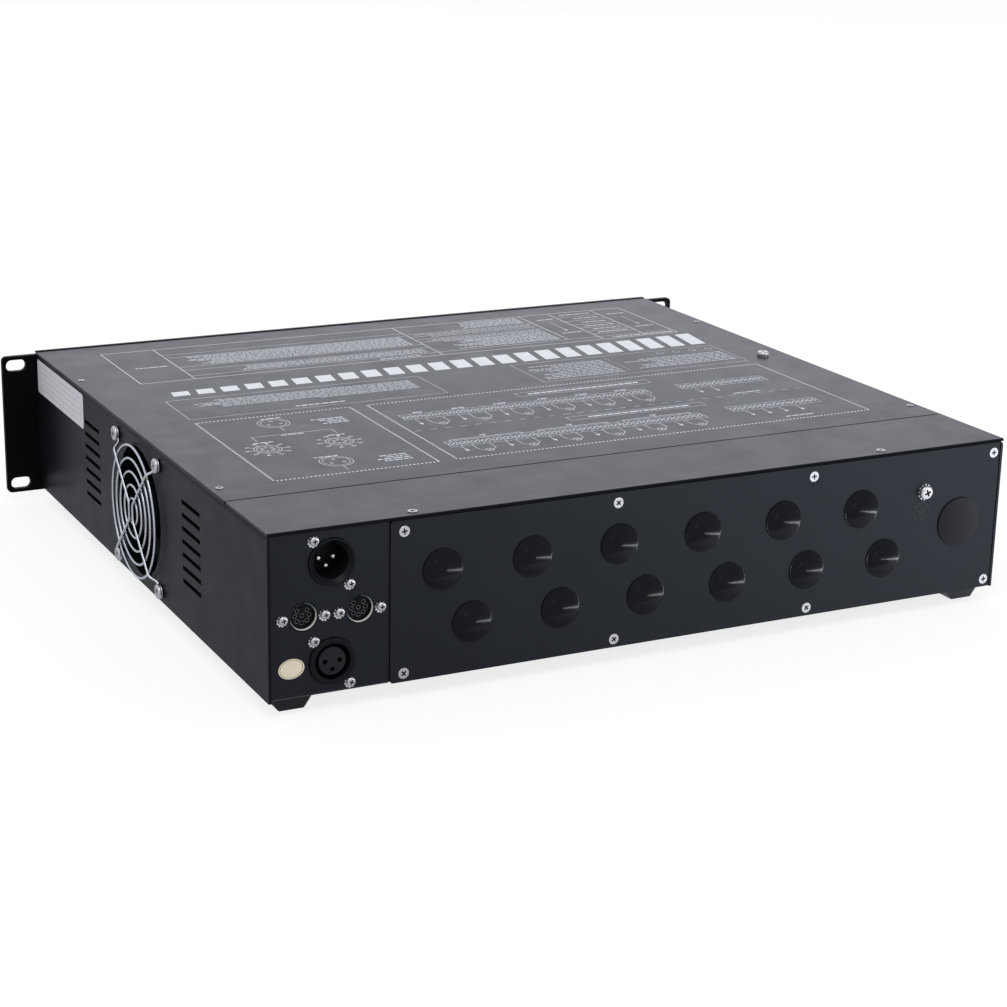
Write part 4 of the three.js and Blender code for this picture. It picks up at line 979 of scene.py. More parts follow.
@dataclass
class CaseScrews:
    """Every screw on the case, by the sheet that it holds."""

    gland_x: tuple[float, ...] = (147.6, 27.2, -93.2, -213.6)
    gland_z: tuple[float, ...] = (79.5, 4.9)
    gland_radius: float = 2.9
    front_x: Point = (-212.0, 212.0)
    front_z: Point = (9.0, 74.4)
    gland_turns: tuple[float, ...] = (8, 42, 40, 35, 3, 42, 6, 4)
    top_x: float = 214.3
    top_y: tuple[float, ...] = (-120.2, 120.2)
    strip_x: tuple[float, ...] = (140.5, -140.5)
    strip_y: float = 194.0
    strap: Point = (-202.5, -19.8)
    round_z: tuple[float, ...] = (68.6, 17.2)
    round_offset: Point = (9.5, 12.0)
    control_z: float = 42.3
    control_offset: float = 14.9
    control_screw: float = 11.0
    washer_sag: Point = (0.25, 0.5)
    washer_thick: float = 0.6
    board_posts: tuple[tuple[float, ...], ...] = (
        (-200, 138, 56, 134, 6), (146, 212, 58, 166, 5), (-162, 120, -120, -32, 6),
    )
    count: int = 0
    spins: random.Random = field(default_factory=lambda: random.Random(7))

    def put(
        self, master: Piece, side: Side, place: Colour, name: str,
        finish: Finish = ZINC, spin: float | None = None,
    ) -> None:
        """Sets a copy of a master at a place on a face, with a number after its name.

        Args:
            master: The screw or washer.
            side: The face.
            place: The place, in the case's millimetres.
            name: Name of the copy, before its number.
            finish: Its finish.
            spin: Its turn in degrees, or none for a random one.
        """
        self.count += 1
        if spin is None:
            spin = self.spins.uniform(0, 90)
        install(master, f"{name}_{self.count}", CASE.placing(side, *place, spin), finish)

    def build(self) -> None:
        """Builds the masters, sets every screw and throws the masters away."""
        kit = ScrewKit()
        flat = kit.flat_head(self.gland_radius, 0.35)
        small = kit.flat_head(2.1, 0.3)
        strip = kit.flat_head(2.7, 0.35)
        pan = kit.pan_head(2.4, 1.7)
        star = kit.star_washer(1.6, 3.02, 0.45)
        large = kit.pan_head(3.6, 2.5)
        large_star = kit.star_washer(2.2, 4.1, 0.5)
        turns = iter(self.gland_turns)
        for x in self.gland_x:
            for z in self.gland_z:
                self.put(flat, Side.REAR, (x, CASE.plate, z), "gland_screw", spin=next(turns))
        for x in (self.top_x, -self.top_x):
            for y in self.top_y:
                self.put(small, Side.TOP, (x, y, CASE.top), "cover_screw", COVER_ZINC)
        for x in self.strip_x:
            self.put(strip, Side.TOP, (x, self.strip_y, CASE.top), "strip_screw", COVER_ZINC)
        self.put(large_star, Side.TOP, (*self.strap, CASE.top), "strap_washer", WASHER_STEEL, 10)
        self.put(large, Side.TOP, (*self.strap, CASE.top + 0.5), "strap_screw", spin=30)
        for x in self.front_x:
            for z in self.front_z:
                self.put(flat, Side.FRONT, (x, CASE.front, z), "front_screw", BLACK_ZINC)
        self.socket_screws(pan, star)
        self.floor_screws(kit.pan_head(2.6, 1.6))
        discard(flat, small, strip, pan, star, large, large_star)

    def socket_screws(self, pan: Piece, star: Piece) -> None:
        """Sets the screws and toothed washers round the sockets.

        Args:
            pan: Master of the screws.
            star: Master of the washers.
        """
        across, up = self.round_offset
        places = [(way * across, z + way * up) for z in self.round_z for way in (1, -1)]
        for way in (1, -1):
            for side in (1, -1):
                places.append((way * self.control_offset + side * self.control_screw, self.control_z))
        sag_x, sag_z = self.washer_sag
        for across, z in places:
            x, spin = CASE.sockets + across, self.spins.uniform(0, 90)
            place = (x + sag_x, CASE.panel, z - sag_z)
            self.put(star, Side.REAR, place, "socket_washer", WASHER_STEEL, spin)
            self.put(pan, Side.REAR, (x, CASE.panel + self.washer_thick, z), "socket_screw", spin=spin)

    def floor_screws(self, master: Piece) -> None:
        """Sets the screws under the case that hold the posts of the boards.

        Args:
            master: Master of the screws.
        """
        for left, right, near, far, inset in self.board_posts:
            for x in (left + inset, right - inset):
                for y in (near + inset, far - inset):
                    self.put(master, Side.UNDER, (x, y, 0.0), "floor_screw")
        discard(master)


# Rear: grommets, plug, earth screw and sticker


@dataclass
class GlandFittings:
    """Cable grommets, the large plug and the earth screw on the gland plate."""

    count: int = 6
    pitch: float = 50.39
    first_x: float = 126.5
    stagger: float = 16.64
    rows: Point = (57.1, 27.0)
    plug: Point = (-192.6, 41.8)
    earth: Point = (-167.6, 62.1)
    symbol: Point = (-166.2, 50.8)
    skirt_slopes: Point = (17.0, 11.0)
    crown_slopes: Point = (12.0, 2.0)
    step: float = 0.2
    spin: float = 11.0

    def dome(self, start: Point, reach: float, slopes: Point, count: int) -> list[Point]:
        """Gives the outline of a rounded skirt that rises inwards.

        Args:
            start: Radius and height where it begins.
            reach: Radius where it ends.
            slopes: Slope in degrees at its start and at its end.
            count: Number of steps.

        Returns:
            The points after the start.
        """
        radius, height = start
        width = (radius - reach) / count
        points = []
        for i in range(count):
            share = (i + 0.5) / count
            slope = slopes[0] + (slopes[1] - slopes[0]) * share
            radius -= width
            height += width * math.tan(math.radians(slope))
            points.append((radius, height))
        return points

    def grommet_master(self) -> Piece:
        """Makes one closed grommet: a flange and two low domes with a step between.

        Returns:
            The grommet.
        """
        profile = [
            (0, -3.0), (8.0, -3.0), (9.3, -1.8), (8.0, -1.8), (8.0, 0.0), (10.7, 0.0),
            *arc((10.62, 0.38), 0.38, -70, 45, 5), (10.3, 0.66),
        ]
        profile += self.dome(profile[-1], 6.75, self.skirt_slopes, 8)
        profile.append((6.55, profile[-1][1] + self.step))
        profile += self.dome(profile[-1], 0.25, self.crown_slopes, 12)
        profile.append((0, profile[-1][1]))
        return smooth(lathe("grommet", profile, 120))

    def plug_master(self) -> Piece:
        """Makes the large blanking plug, a shallow dome with a soft edge.

        Returns:
            The plug.
        """
        rise, span = 1.5, 13.6
        ball = (span**2 + rise**2) / (2 * rise)
        dome = []
        for i in range(10):
            radius = span * (1 - i / 10)
            dome.append((radius, 0.9 + rise - ball + math.sqrt(ball**2 - radius**2)))
        profile = [
            (0, -3.0), (11.5, -3.0), (12.6, -1.8), (11.5, -1.8), (11.5, 0), (14.0, 0),
            *arc((13.75, 0.45), 0.45, -50, 70, 6), *dome, (0, 0.9 + rise),
        ]
        return smooth(lathe("plug", profile, 96))

    def symbol_strokes(self) -> "Printing":
        """Draws the earth symbol, a circle round three shortening bars.

        Returns:
            The drawn symbol.
        """
        sheet = Printing(Side.REAR, 0.06)
        sheet.ring((0, 0), 5.0, 0.55)
        sheet.line((0, 3.4), (0, 0.3), 0.55)
        for i, half in enumerate((3.0, 2.0, 1.0)):
            sheet.line((-half, 0.3 - i * 1.35), (half, 0.3 - i * 1.35), 0.55)
        return sheet

    def build(self) -> None:
        """Builds the fittings and sets them on the plate."""
        grommet = self.grommet_master()
        number = 0
        for row, z in enumerate(self.rows):
            for i in range(self.count):
                number += 1
                x = self.first_x - row * self.stagger - i * self.pitch
                place = CASE.placing(Side.REAR, x, CASE.plate, z, self.spin * number)
                node = f"cable_grommet_{number}"
                name = f"grommet_{number}"
                install(grommet, name, place, GROMMET_RUBBER, stands_for=[node])
        plug = self.plug_master()
        place = CASE.placing(Side.REAR, self.plug[0], CASE.plate, self.plug[1])
        install(plug, "large_plug", place, PLUG_MOULDING, stands_for=["blanking_plug"])
        discard(grommet, plug)
        self.build_earth()
        symbol = self.symbol_strokes().build("earth_symbol", self.symbol[0], CASE.plate, self.symbol[1])
        finished(symbol, INK_BLACK)

    def build_earth(self) -> None:
        """Builds the earth screw with its toothed washer, shank and nut."""
        kit = ScrewKit(teeth=12)
        head = kit.pan_head(4.0, 2.6)
        washer = kit.star_washer(2.6, 4.6, 0.6)
        shank = lathe("earth_shank", [(0, -9), (2.1, -9), (2.4, -8.6), (2.4, 0), (0, 0)], 24)
        nut = drum("earth_nut", 4.6, -5.5, -1.5, 6)
        x, z = self.earth
        body = combine("earth_bolt", [head, shank])
        for master, name, lift, finish, nodes in (
            (body, "earth_screw_head", 0.65, ZINC, ["earth_screw"]),
            (washer, "earth_washer", 0, WASHER_STEEL, []),
            (nut, "earth_lock_nut", 0, ZINC, []),
        ):
            place = CASE.placing(Side.REAR, x, CASE.plate + lift, z, 20)
            install(master, name, place, finish, stands_for=nodes)
        discard(body, washer, nut)


# Printing


@dataclass(frozen=True)
class Rows:
    """A block of short printed bars of uneven length, in rows.

    Attributes:
        left: Edge where every row starts.
        right: Furthest edge that a row may reach.
        low: Lower edge of the block.
        high: Upper edge of the block.
        count: How many rows.
        height: Height of the bars.
        ragged: Share of the length by which a row may fall short.
        lengths: Shortest and longest bar.
        gap: Space between bars.
    """

    left: float
    right: float
    low: float
    high: float
    count: int
    height: float
    ragged: float
    lengths: Point = (1.6, 6.0)
    gap: float = 0.75


@dataclass
class Printing:
    """Flat printing on one face, made of stamped bars, rings and filled shapes.

    Attributes:
        side: The face.
        thick: Thickness of the ink.
        shapes: Corners of every stroke and filled shape.
    """

    side: Side
    thick: float = 0.04
    shapes: list[list[Point]] = field(default_factory=list)

    def line(self, start: Point, end: Point, width: float) -> None:
        """Adds a straight stroke.

        Args:
            start: Where it starts.
            end: Where it ends.
            width: Its width.
        """
        first, last = Vector(start), Vector(end)
        along = (last - first).normalized()
        across = Vector((-along.y, along.x)) * width / 2
        corners = (first - across, last - across, last + across, first + across)
        self.shapes.append([tuple(corner) for corner in corners])

    def lines(self, width: float, *ends: tuple[float, float, float, float]) -> None:
        """Adds straight strokes of one width, each given as x, y to x, y."""
        for x, y, to_x, to_y in ends:
            self.line((x, y), (to_x, to_y), width)

    def ring(self, centre: Point, radius: float, width: float, count: int = 20) -> None:
        """Adds a round stroke.

        Args:
            centre: Its centre.
            radius: Radius of its middle line.
            width: Its width.
            count: How many pieces it has.
        """
        inner, outer = radius - width / 2, radius + width / 2
        for i in range(count):
            a, b = math.tau * i / count, math.tau * (i + 1) / count
            self.shapes.append([
                (centre[0] + reach * math.cos(angle), centre[1] + reach * math.sin(angle))
                for reach, angle in ((inner, a), (outer, a), (outer, b), (inner, b))
            ])

    def frame(self, box: Box, width: float) -> None:
        """Adds a rectangle of four strokes that meet at its corners.

        Args:
            box: The rectangle.
            width: Width of the strokes.
        """
        (left, right, low, high), half = box, width / 2
        for y in (low, high):
            self.line((left - half, y), (right + half, y), width)
        for x in (left, right):
            self.line((x, low + half), (x, high - half), width)

    def dashes(self, start: Point, end: Point, pitch: float, share: float, width: float) -> None:
        """Adds a dashed stroke.

        Args:
            start: Where it starts.
            end: Where it ends.
            pitch: Distance from dash to dash.
            share: Share of the pitch that is printed.
            width: Width of the stroke.
        """
        first, last = Vector(start), Vector(end)
        count = max(1, round((last - first).length / pitch))
        step = (last - first) / count
        for i in range(count):
            begin = first + step * i
            self.line(tuple(begin), tuple(begin + step * share), width)

    def fill(self, rows: Rows, draws: random.Random) -> None:
        """Adds a block of short bars.

        Args:
            rows: The block.
            draws: Source of the lengths.
        """
        for row in range(rows.count):
            y = rows.low + (rows.high - rows.low) * (row + 0.5) / rows.count
            end = rows.right - (rows.right - rows.left) * rows.ragged * draws.random() ** 2
            x = rows.left
            while x < end - 2 * rows.gap:
                length = min(draws.uniform(*rows.lengths), end - x)
                self.line((x, y), (x + length, y), rows.height)
                x += length + rows.gap

    def build(self, name: str, x: float, y: float, z: float) -> Piece:
        """Stamps every shape into one thin mesh.

        Args:
            name: Name of the piece.
            x: Place of the printing's origin, in the case's millimetres.
            y: The same along the case.
            z: The same upwards.

        Returns:
            The printed piece, lying on its face.
        """
        corners = [(*corner, 0.0) for shape in self.shapes for corner in shape]
        numbers = iter(range(len(corners)))
        mesh = bpy.data.meshes.new(name)
        mesh.from_pydata(corners, [], [[next(numbers) for _ in shape] for shape in self.shapes])
        piece = bpy.data.objects.new(name, mesh)
        bpy.context.collection.objects.link(piece)
        with editing(piece, whole=True):
            bpy.ops.mesh.remove_doubles(threshold=1e-4)
            bpy.ops.mesh.extrude_region_move(TRANSFORM_OT_translate={"value": (0, 0, self.thick)})
            bpy.ops.mesh.select_all(action="SELECT")
            bpy.ops.mesh.normals_make_consistent(inside=False)
        mesh.transform(CASE.placing(self.side, x, y, z))
        return piece


SMALL_ROWS = (
    # The table
    Rows(-8, 140, -153.5, -130.5, 10, 1.0, 0.12),
    Rows(-8, 118, -118.5, -108.0, 4, 1.0, 0.2),
    Rows(-104, -58, -177.0, -160.0, 7, 1.0, 0.15),
    *(Rows(-104, -18, y, y + 1.2, 1, 0.8, 0.15) for y in (-155.5, -152.5, -147.5, -139.5, -137.0)),
    Rows(-104, -30, -133.0, -109.0, 10, 1.0, 0.35),
    *(Rows(-159, -136, y - 1, y + 1, 1, 1.4, 0.2) for y in (-172.0, -159.5, -147.5, -137.0, -127.5, -118.0)),
    *(Rows(x, x + 14, y - 1, y + 1, 1, 1.4, 0.1) for x in (-182, -127) for y in (-164.0, -124.0)),
    Rows(-184, -136, -103.5, -100.5, 1, 1.8, 0.1),
    Rows(0, 28, -103.5, -100.5, 1, 1.6, 0.1),
    Rows(156, 178, -136.5, -134.0, 1, 1.6, 0.05),
    # The thin boxes
    Rows(34, 172, -47.5, -28.0, 8, 0.9, 0.55),
    Rows(88, 120, -17.5, -14.5, 1, 1.8, 0.05),
    Rows(-100, -45, -49.5, -15.5, 10, 1.0, 0.35),
    Rows(-183, -109, -41.5, -18.5, 7, 1.0, 0.35),
    # The socket circles
    *(Rows(x, x + 14, y, y + 1.6, 1, 1.4, 0.05) for x, y in ((136, 3.2), (136, 87.0), (136, 38.6))),
    *(Rows(x, x + 12, 48.8, 50.4, 1, 1.4, 0.05) for x in (158, 116)),
    *(Rows(x, x + 20, y, y + 12.5, 4, 1.3, 0.4) for x, y in ((103, 14.5), (101, 96.5))),
    # The terminal rows
    *(Rows(-151, -131, y, y + 1.5, 1, 1.4, 0.1) for y in (55.4, 112.3)),
    Rows(-93, -18, 9.0, 12.0, 1, 2.4, 0.02),
    Rows(-93, -24, 68.2, 71.2, 1, 2.2, 0.02),
    *(Rows(57.0 - i * 26.9, 65.0 - i * 26.9, 22.6, 24.2, 1, 1.6, 0.02) for i in range(6)),
)


@dataclass
class CoverPrinting:
    """Line drawing on the top cover: a table, boxes, socket circles and terminal rows.

    Attributes:
        left: Edge of the drawing on the plain side.
        right: Edge of the drawing on the fan side.
        table: Front and rear edge of the table.
        head: Rear end of the table's short columns.
        rules: Left and right end and places of the table's rules.
        ramp: Front and rear edge of the row of blocks that grow.
        panels: Front and rear edge of the dotted frames.
    """

    left: float = -186.0
    right: float = 184.4
    line_width: float = 0.55
    thin: float = 0.35
    dot_width: float = 1.15
    dot_pitch: float = 2.35
    table: Point = (-179.0, -98.5)
    head: float = -106.0
    columns: tuple[float, ...] = (-130.4, -14.2, 150.5)
    short_columns: tuple[float, ...] = (-163.3, -108.0)
    rules: tuple[tuple[float, float, tuple[float, ...]], ...] = (
        (-186.0, 150.5, (-106.0,)),
        (-14.2, 150.5, (-162.0, -154.5, -129.0, -120.0)),
        (-108.0, -14.2, (-157.5, -150.0, -142.0, -134.5)),
        (-163.3, -130.4, (-165.5, -153.5, -142.0, -132.5, -122.5, -114.0)),
    )
    ramp: Point = (-92.0, -63.0)
    ramp_pitch: float = 15.3
    ramp_width: float = 10.5
    ramp_count: int = 24
    ramp_lean: float = 4.0
    panels: Point = (-2.0, 119.5)
    cell: float = 6.7
    cell_reach: float = 5.4
    lamp_pitch: float = 26.9
    bold: Printing = field(default_factory=lambda: Printing(Side.TOP))
    faint: Printing = field(default_factory=lambda: Printing(Side.TOP))

    def draw_table(self) -> None:
        """Draws the large table at the front, ruled into cells."""
        low, high = self.table
        self.bold.frame((self.left, self.right, low, high), self.line_width)
        for columns, end in ((self.columns, high), (self.short_columns, self.head)):
            for x in columns:
                self.bold.line((x, low), (x, end), self.line_width)
        for left, right, places in self.rules:
            for y in places:
                self.bold.line((left, y), (right, y), self.thin)
        for x in (-175.0, -120.0):
            self.arrow((x, -155.0), (x, -133.0))

    def arrow(self, start: Point, end: Point) -> None:
        """Draws an arrow with a filled head along the case.

        Args:
            start: Where it starts.
            end: Where its head starts.
        """
        self.bold.line(start, end, self.thin)
        (x, y), way = end, math.copysign(1.0, end[1] - start[1])
        self.bold.shapes.append([(x - 1.3, y), (x + 1.3, y), (x, y + 3.2 * way)])

    def draw_ramp(self) -> None:
        """Draws a row of slanted blocks that grow, in the place of a title."""
        tallest, base = self.ramp
        for i in range(1, self.ramp_count + 1):
            grow = 0.30 + 0.70 * i / self.ramp_count
            x, lean = self.right - 3.5 - i * self.ramp_pitch, self.ramp_lean * grow
            tip = base + (tallest - base) * grow
            end = x + self.ramp_width
            self.bold.shapes.append([(x, base), (end, base), (end - lean, tip), (x - lean, tip)])

    def draw_boxes(self) -> None:
        """Draws the two thin boxes behind the row of blocks."""
        text = self.faint
        text.frame((24.4, self.right, -54.0, -10.8), self.thin)
        text.frame((self.left, -40.6, -57.0, -11.5), self.thin)
        text.dashes((-104.5, -53.0), (-104.5, -17.0), 2.2, 0.55, self.thin)
        for i in range(4):
            text.ring((-180.0 + i * 12.0, -50.0), 2.2, self.thin)

    def dotted_frame(self, box: Box) -> None:
        """Draws a rectangle of dots.

        Args:
            box: The rectangle.
        """
        left, right, low, high = box
        for start, end in (
            ((left, low), (right, low)), ((left, high), (right, high)),
            ((left, low), (left, high)), ((right, low), (right, high)),
        ):
            self.bold.dashes(start, end, self.dot_pitch, 0.5, self.dot_width)

    def pin_circle(self, centre: Point, radius: float, pins: int, leads: int) -> None:
        """Draws a socket seen from its face, with rings for pins, and radial leads.

        Args:
            centre: Its middle.
            radius: Its radius.
            pins: How many pins.
            leads: How many leads.
        """
        sheet = self.bold
        sheet.ring(centre, radius, self.thin)
        sheet.ring(centre, radius * 0.8, self.thin * 0.8)
        for i in range(pins):
            angle = math.tau * (i + 0.25) / pins
            reach = radius * 0.45
            place = (centre[0] + reach * math.cos(angle), centre[1] + reach * math.sin(angle))
            sheet.ring(place, 0.8, self.thin)
        for i in range(leads):
            angle = math.tau * i / leads
            way = Vector((math.cos(angle), math.sin(angle)))
            start = Vector(centre) + way * radius
            sheet.line(tuple(start), tuple(start + way * 3.0), self.thin)
            tag = start + way * 4.2
            sheet.line((tag.x - 1.2, tag.y), (tag.x + 1.2, tag.y), 0.9)

    def draw_sockets(self) -> None:
        """Draws the dotted frame with the four socket circles and their links."""
        self.dotted_frame((91.0, self.right, *self.panels))
        for place in ((144.0, 14.0), (141.0, 98.0)):
            self.pin_circle(place, 9.2, 3, 0)
        for place in ((166.0, 62.7), (124.3, 62.7)):
            self.pin_circle(place, 7.6, 7, 10)
        self.bold.lines(
            self.thin, (144.0, 23.2, 144.0, 31.8), (141.0, 107.2, 141.0, 114.5), (119.0, 37.5, 166.0, 37.5),
            (166.0, 37.5, 166.0, 46.0), (119.0, 37.5, 119.0, 46.0),
        )

    def terminal_row(self, right: float, y: float, count: int) -> None:
        """Draws a row of terminals, each a box round a ring with a bar.

        Args:
            right: Edge of the row on the fan side.
            y: Middle of the row.
            count: How many terminals.
        """
        sheet, cell, reach = self.faint, self.cell, self.cell_reach
        sheet.frame((right - count * cell, right, y - reach, y + reach), self.thin)
        for i in range(count):
            x = right - (i + 0.5) * cell
            sheet.ring((x, y), 2.5, 0.5)
            sheet.line((x - 1.5, y - 1.5), (x + 1.5, y + 1.5), 0.6)
            if i:
                sheet.line((x + cell / 2, y - reach), (x + cell / 2, y + reach), self.thin)

    def lamp(self, x: float, y: float) -> None:
        """Draws a lamp on two leads below its terminals.

        Args:
            x: Its middle across.
            y: Its middle along.
        """
        half, radius, cross = 5.2, 2.4, 1.6
        for way in (-1, 1):
            side = x + way * half
            self.bold.lines(
                self.thin, (side, y - 12.5, side, y - 3.0), (side, y - 3.0, x + way * radius, y),
                (x - cross, y - way * cross, x + cross, y + way * cross),
            )
        self.bold.ring((x, y), radius, self.thin)

    def bracket(self, right: float, left: float, y: float) -> None:
        """Draws a flat bracket over a group of terminals.

        Args:
            right: Its right end.
            left: Its left end.
            y: Place of its long stroke.
        """
        middle = (left + right) / 2
        self.bold.lines(
            self.line_width, (left, y, right, y), (left, y, left, y + 3.5), (right, y, right, y + 3.5),
            (middle, y, middle, y - 3.5),
        )
        self.bold.line((middle - 2, y - 3.5), (middle + 2, y - 3.5), 1.0)

    def draw_terminals(self) -> None:
        """Draws the dotted frame with the two wiring pictures."""
        low, high = self.panels
        self.dotted_frame((self.left, 80.2, low, high - 0.2))
        for y in (50.2, 109.0):
            for i in range(6):
                x = 55.8 - i * self.lamp_pitch
                self.lamp(x, y)
                self.arrow((x + 11.8, y - 12.5), (x + 11.8, y - 4.5))
        self.terminal_row(72.9, 31.3, 24)
        for edge in (72.9, 18.4, -36.1):
            self.terminal_row(edge, 91.5, 8)
            self.bracket(edge - 4.4, edge - 48.5, 84.0)
        for y, arrows in ((27.9, 2), (84.8, 4)):
            self.terminal_row(-110.5, y + 2.2, 9)
            for i in range(arrows):
                x = -117.5 - i * 11.3
                self.arrow((x, y + 8.5), (x, y + 16.0))
        self.bold.dashes((78.0, 59.8), (-183.0, 59.8), 9.3, 0.45, self.thin)
        self.faint.frame((-100.0, -11.0, 6.4, 14.4), self.thin)
        self.faint.frame((-103.0, -13.5, 66.3, 73.0), self.thin)

    def build(self) -> None:
        """Draws everything and lays it on the top cover."""
        self.draw_table()
        self.draw_ramp()
        self.draw_boxes()
        self.draw_sockets()
        self.draw_terminals()
        draws = random.Random(3)
        for rows in SMALL_ROWS:
            self.faint.fill(rows, draws)
        finished(self.bold.build("cover_lines", 0, 0, CASE.top), INK_WHITE)
        finished(self.faint.build("cover_small_rows", 0, 0, CASE.top), INK_GREY)


# Sockets on the connector panel


@dataclass
class RoundSockets:
    """The three-pole round sockets: one with pins, one with holes."""

    inlet_z: float = 68.6
    outlet_z: float = 17.2
    ring: float = 12.2
    proud: float = 1.2
    inlet_bore: float = 9.2
    inlet_throat: float = 8.5
    throat_depth: float = 4.5
    dish: float = 2.1
    outlet_bore: float = 9.4
    depth: float = 15.0
    body: float = 11.6
    back: float = -23.5
    places: tuple[Point, ...] = ((-3.9, 0.0), (3.9, 0.0), (0.0, -4.3))

    def shell(self, bore: float, throat: float, floor: float, dish: float) -> Piece:
        """Makes a shell with a rectangular flange behind the panel.

        Args:
            bore: Radius at the face.
            throat: Radius further in.
            floor: Height of the floor.
            dish: How far the face is dished.

        Returns:
            The shell.
        """
        edge = self.proud - dish
        shell = lathe("shell", [
            (0, self.back), (self.body, self.back), (self.body, -3.7), (self.ring, -3.7),
            *arc((self.ring - 0.5, self.proud - 0.5), 0.5, 0, 90, 6), (self.ring - 0.9, self.proud),
            *arc((bore + 0.3, edge - 0.3), 0.3, 90, 180, 6),
            (throat, -self.throat_depth), (throat, floor), (0, floor),
        ], 96)
        flange = slab("flange", (25.0, 29.4), 2.2, 3.0, -3.7)
        carve(flange, drum("bore", self.body - 0.5, -5.0, 0.0, 96))
        return carve(shell, flange, "UNION")

    def inlet_shell(self) -> Piece:
        """Makes the shell of the socket with pins, with its key groove at the top.

        Returns:
            The shell.
        """
        shell = self.shell(self.inlet_bore, self.inlet_throat, -self.depth, self.dish)
        key = block("key", (4.6, 2.6, self.depth + 2.0), (0, self.inlet_bore + 0.1, -self.depth / 2 + 1.6))
        return smooth(carve(shell, key))

    def outlet_shell(self) -> Piece:
        """Makes the shell of the socket with holes."""
        return smooth(self.shell(self.outlet_bore, self.outlet_bore, -10.0, 0.0))

    def insert(self) -> Piece:
        """Makes the round insert with its three contact holes.

        Returns:
            The insert.
        """
        core = lathe("insert", [(0, -10.3), (7.3, -10.3), (7.3, -0.1), (7.0, 0.2), (0, 0.2)], 64)
        drill(core, self.places, 1.3, -9.0, 1.0, 24)
        return smooth(core)

    def pin(self) -> Piece:
        """Makes one contact pin with a rounded tip."""
        profile = [(0, -15.5), (1.2, -15.5), (1.2, -8.1), *arc((0.55, -7.95), 0.65, 0, 80, 5), (0, -7.3)]
        return smooth(lathe("pin", profile, 24), 40)

    def build(self) -> None:
        """Builds both sockets and sets them in the panel."""
        upper = CASE.placing(Side.REAR, CASE.sockets, CASE.panel, self.inlet_z)
        lower = CASE.placing(Side.REAR, CASE.sockets, CASE.panel, self.outlet_z)
        inlet, outlet, insert, pin = self.inlet_shell(), self.outlet_shell(), self.insert(), self.pin()
        install(inlet, "inlet_shell", upper, SOCKET_MOULDING, stands_for=["xlr_inlet"])
        install(outlet, "outlet_shell", lower, SOCKET_MOULDING, stands_for=["xlr_outlet"])
        install(insert, "outlet_insert", lower, SOCKET_INSERT)
        for i, (u, v) in enumerate(self.places):
            place = upper @ Matrix.Translation((u, v, 0))
            install(pin, f"inlet_pin_{i + 1}", place, NICKEL)
        discard(inlet, outlet, insert, pin)


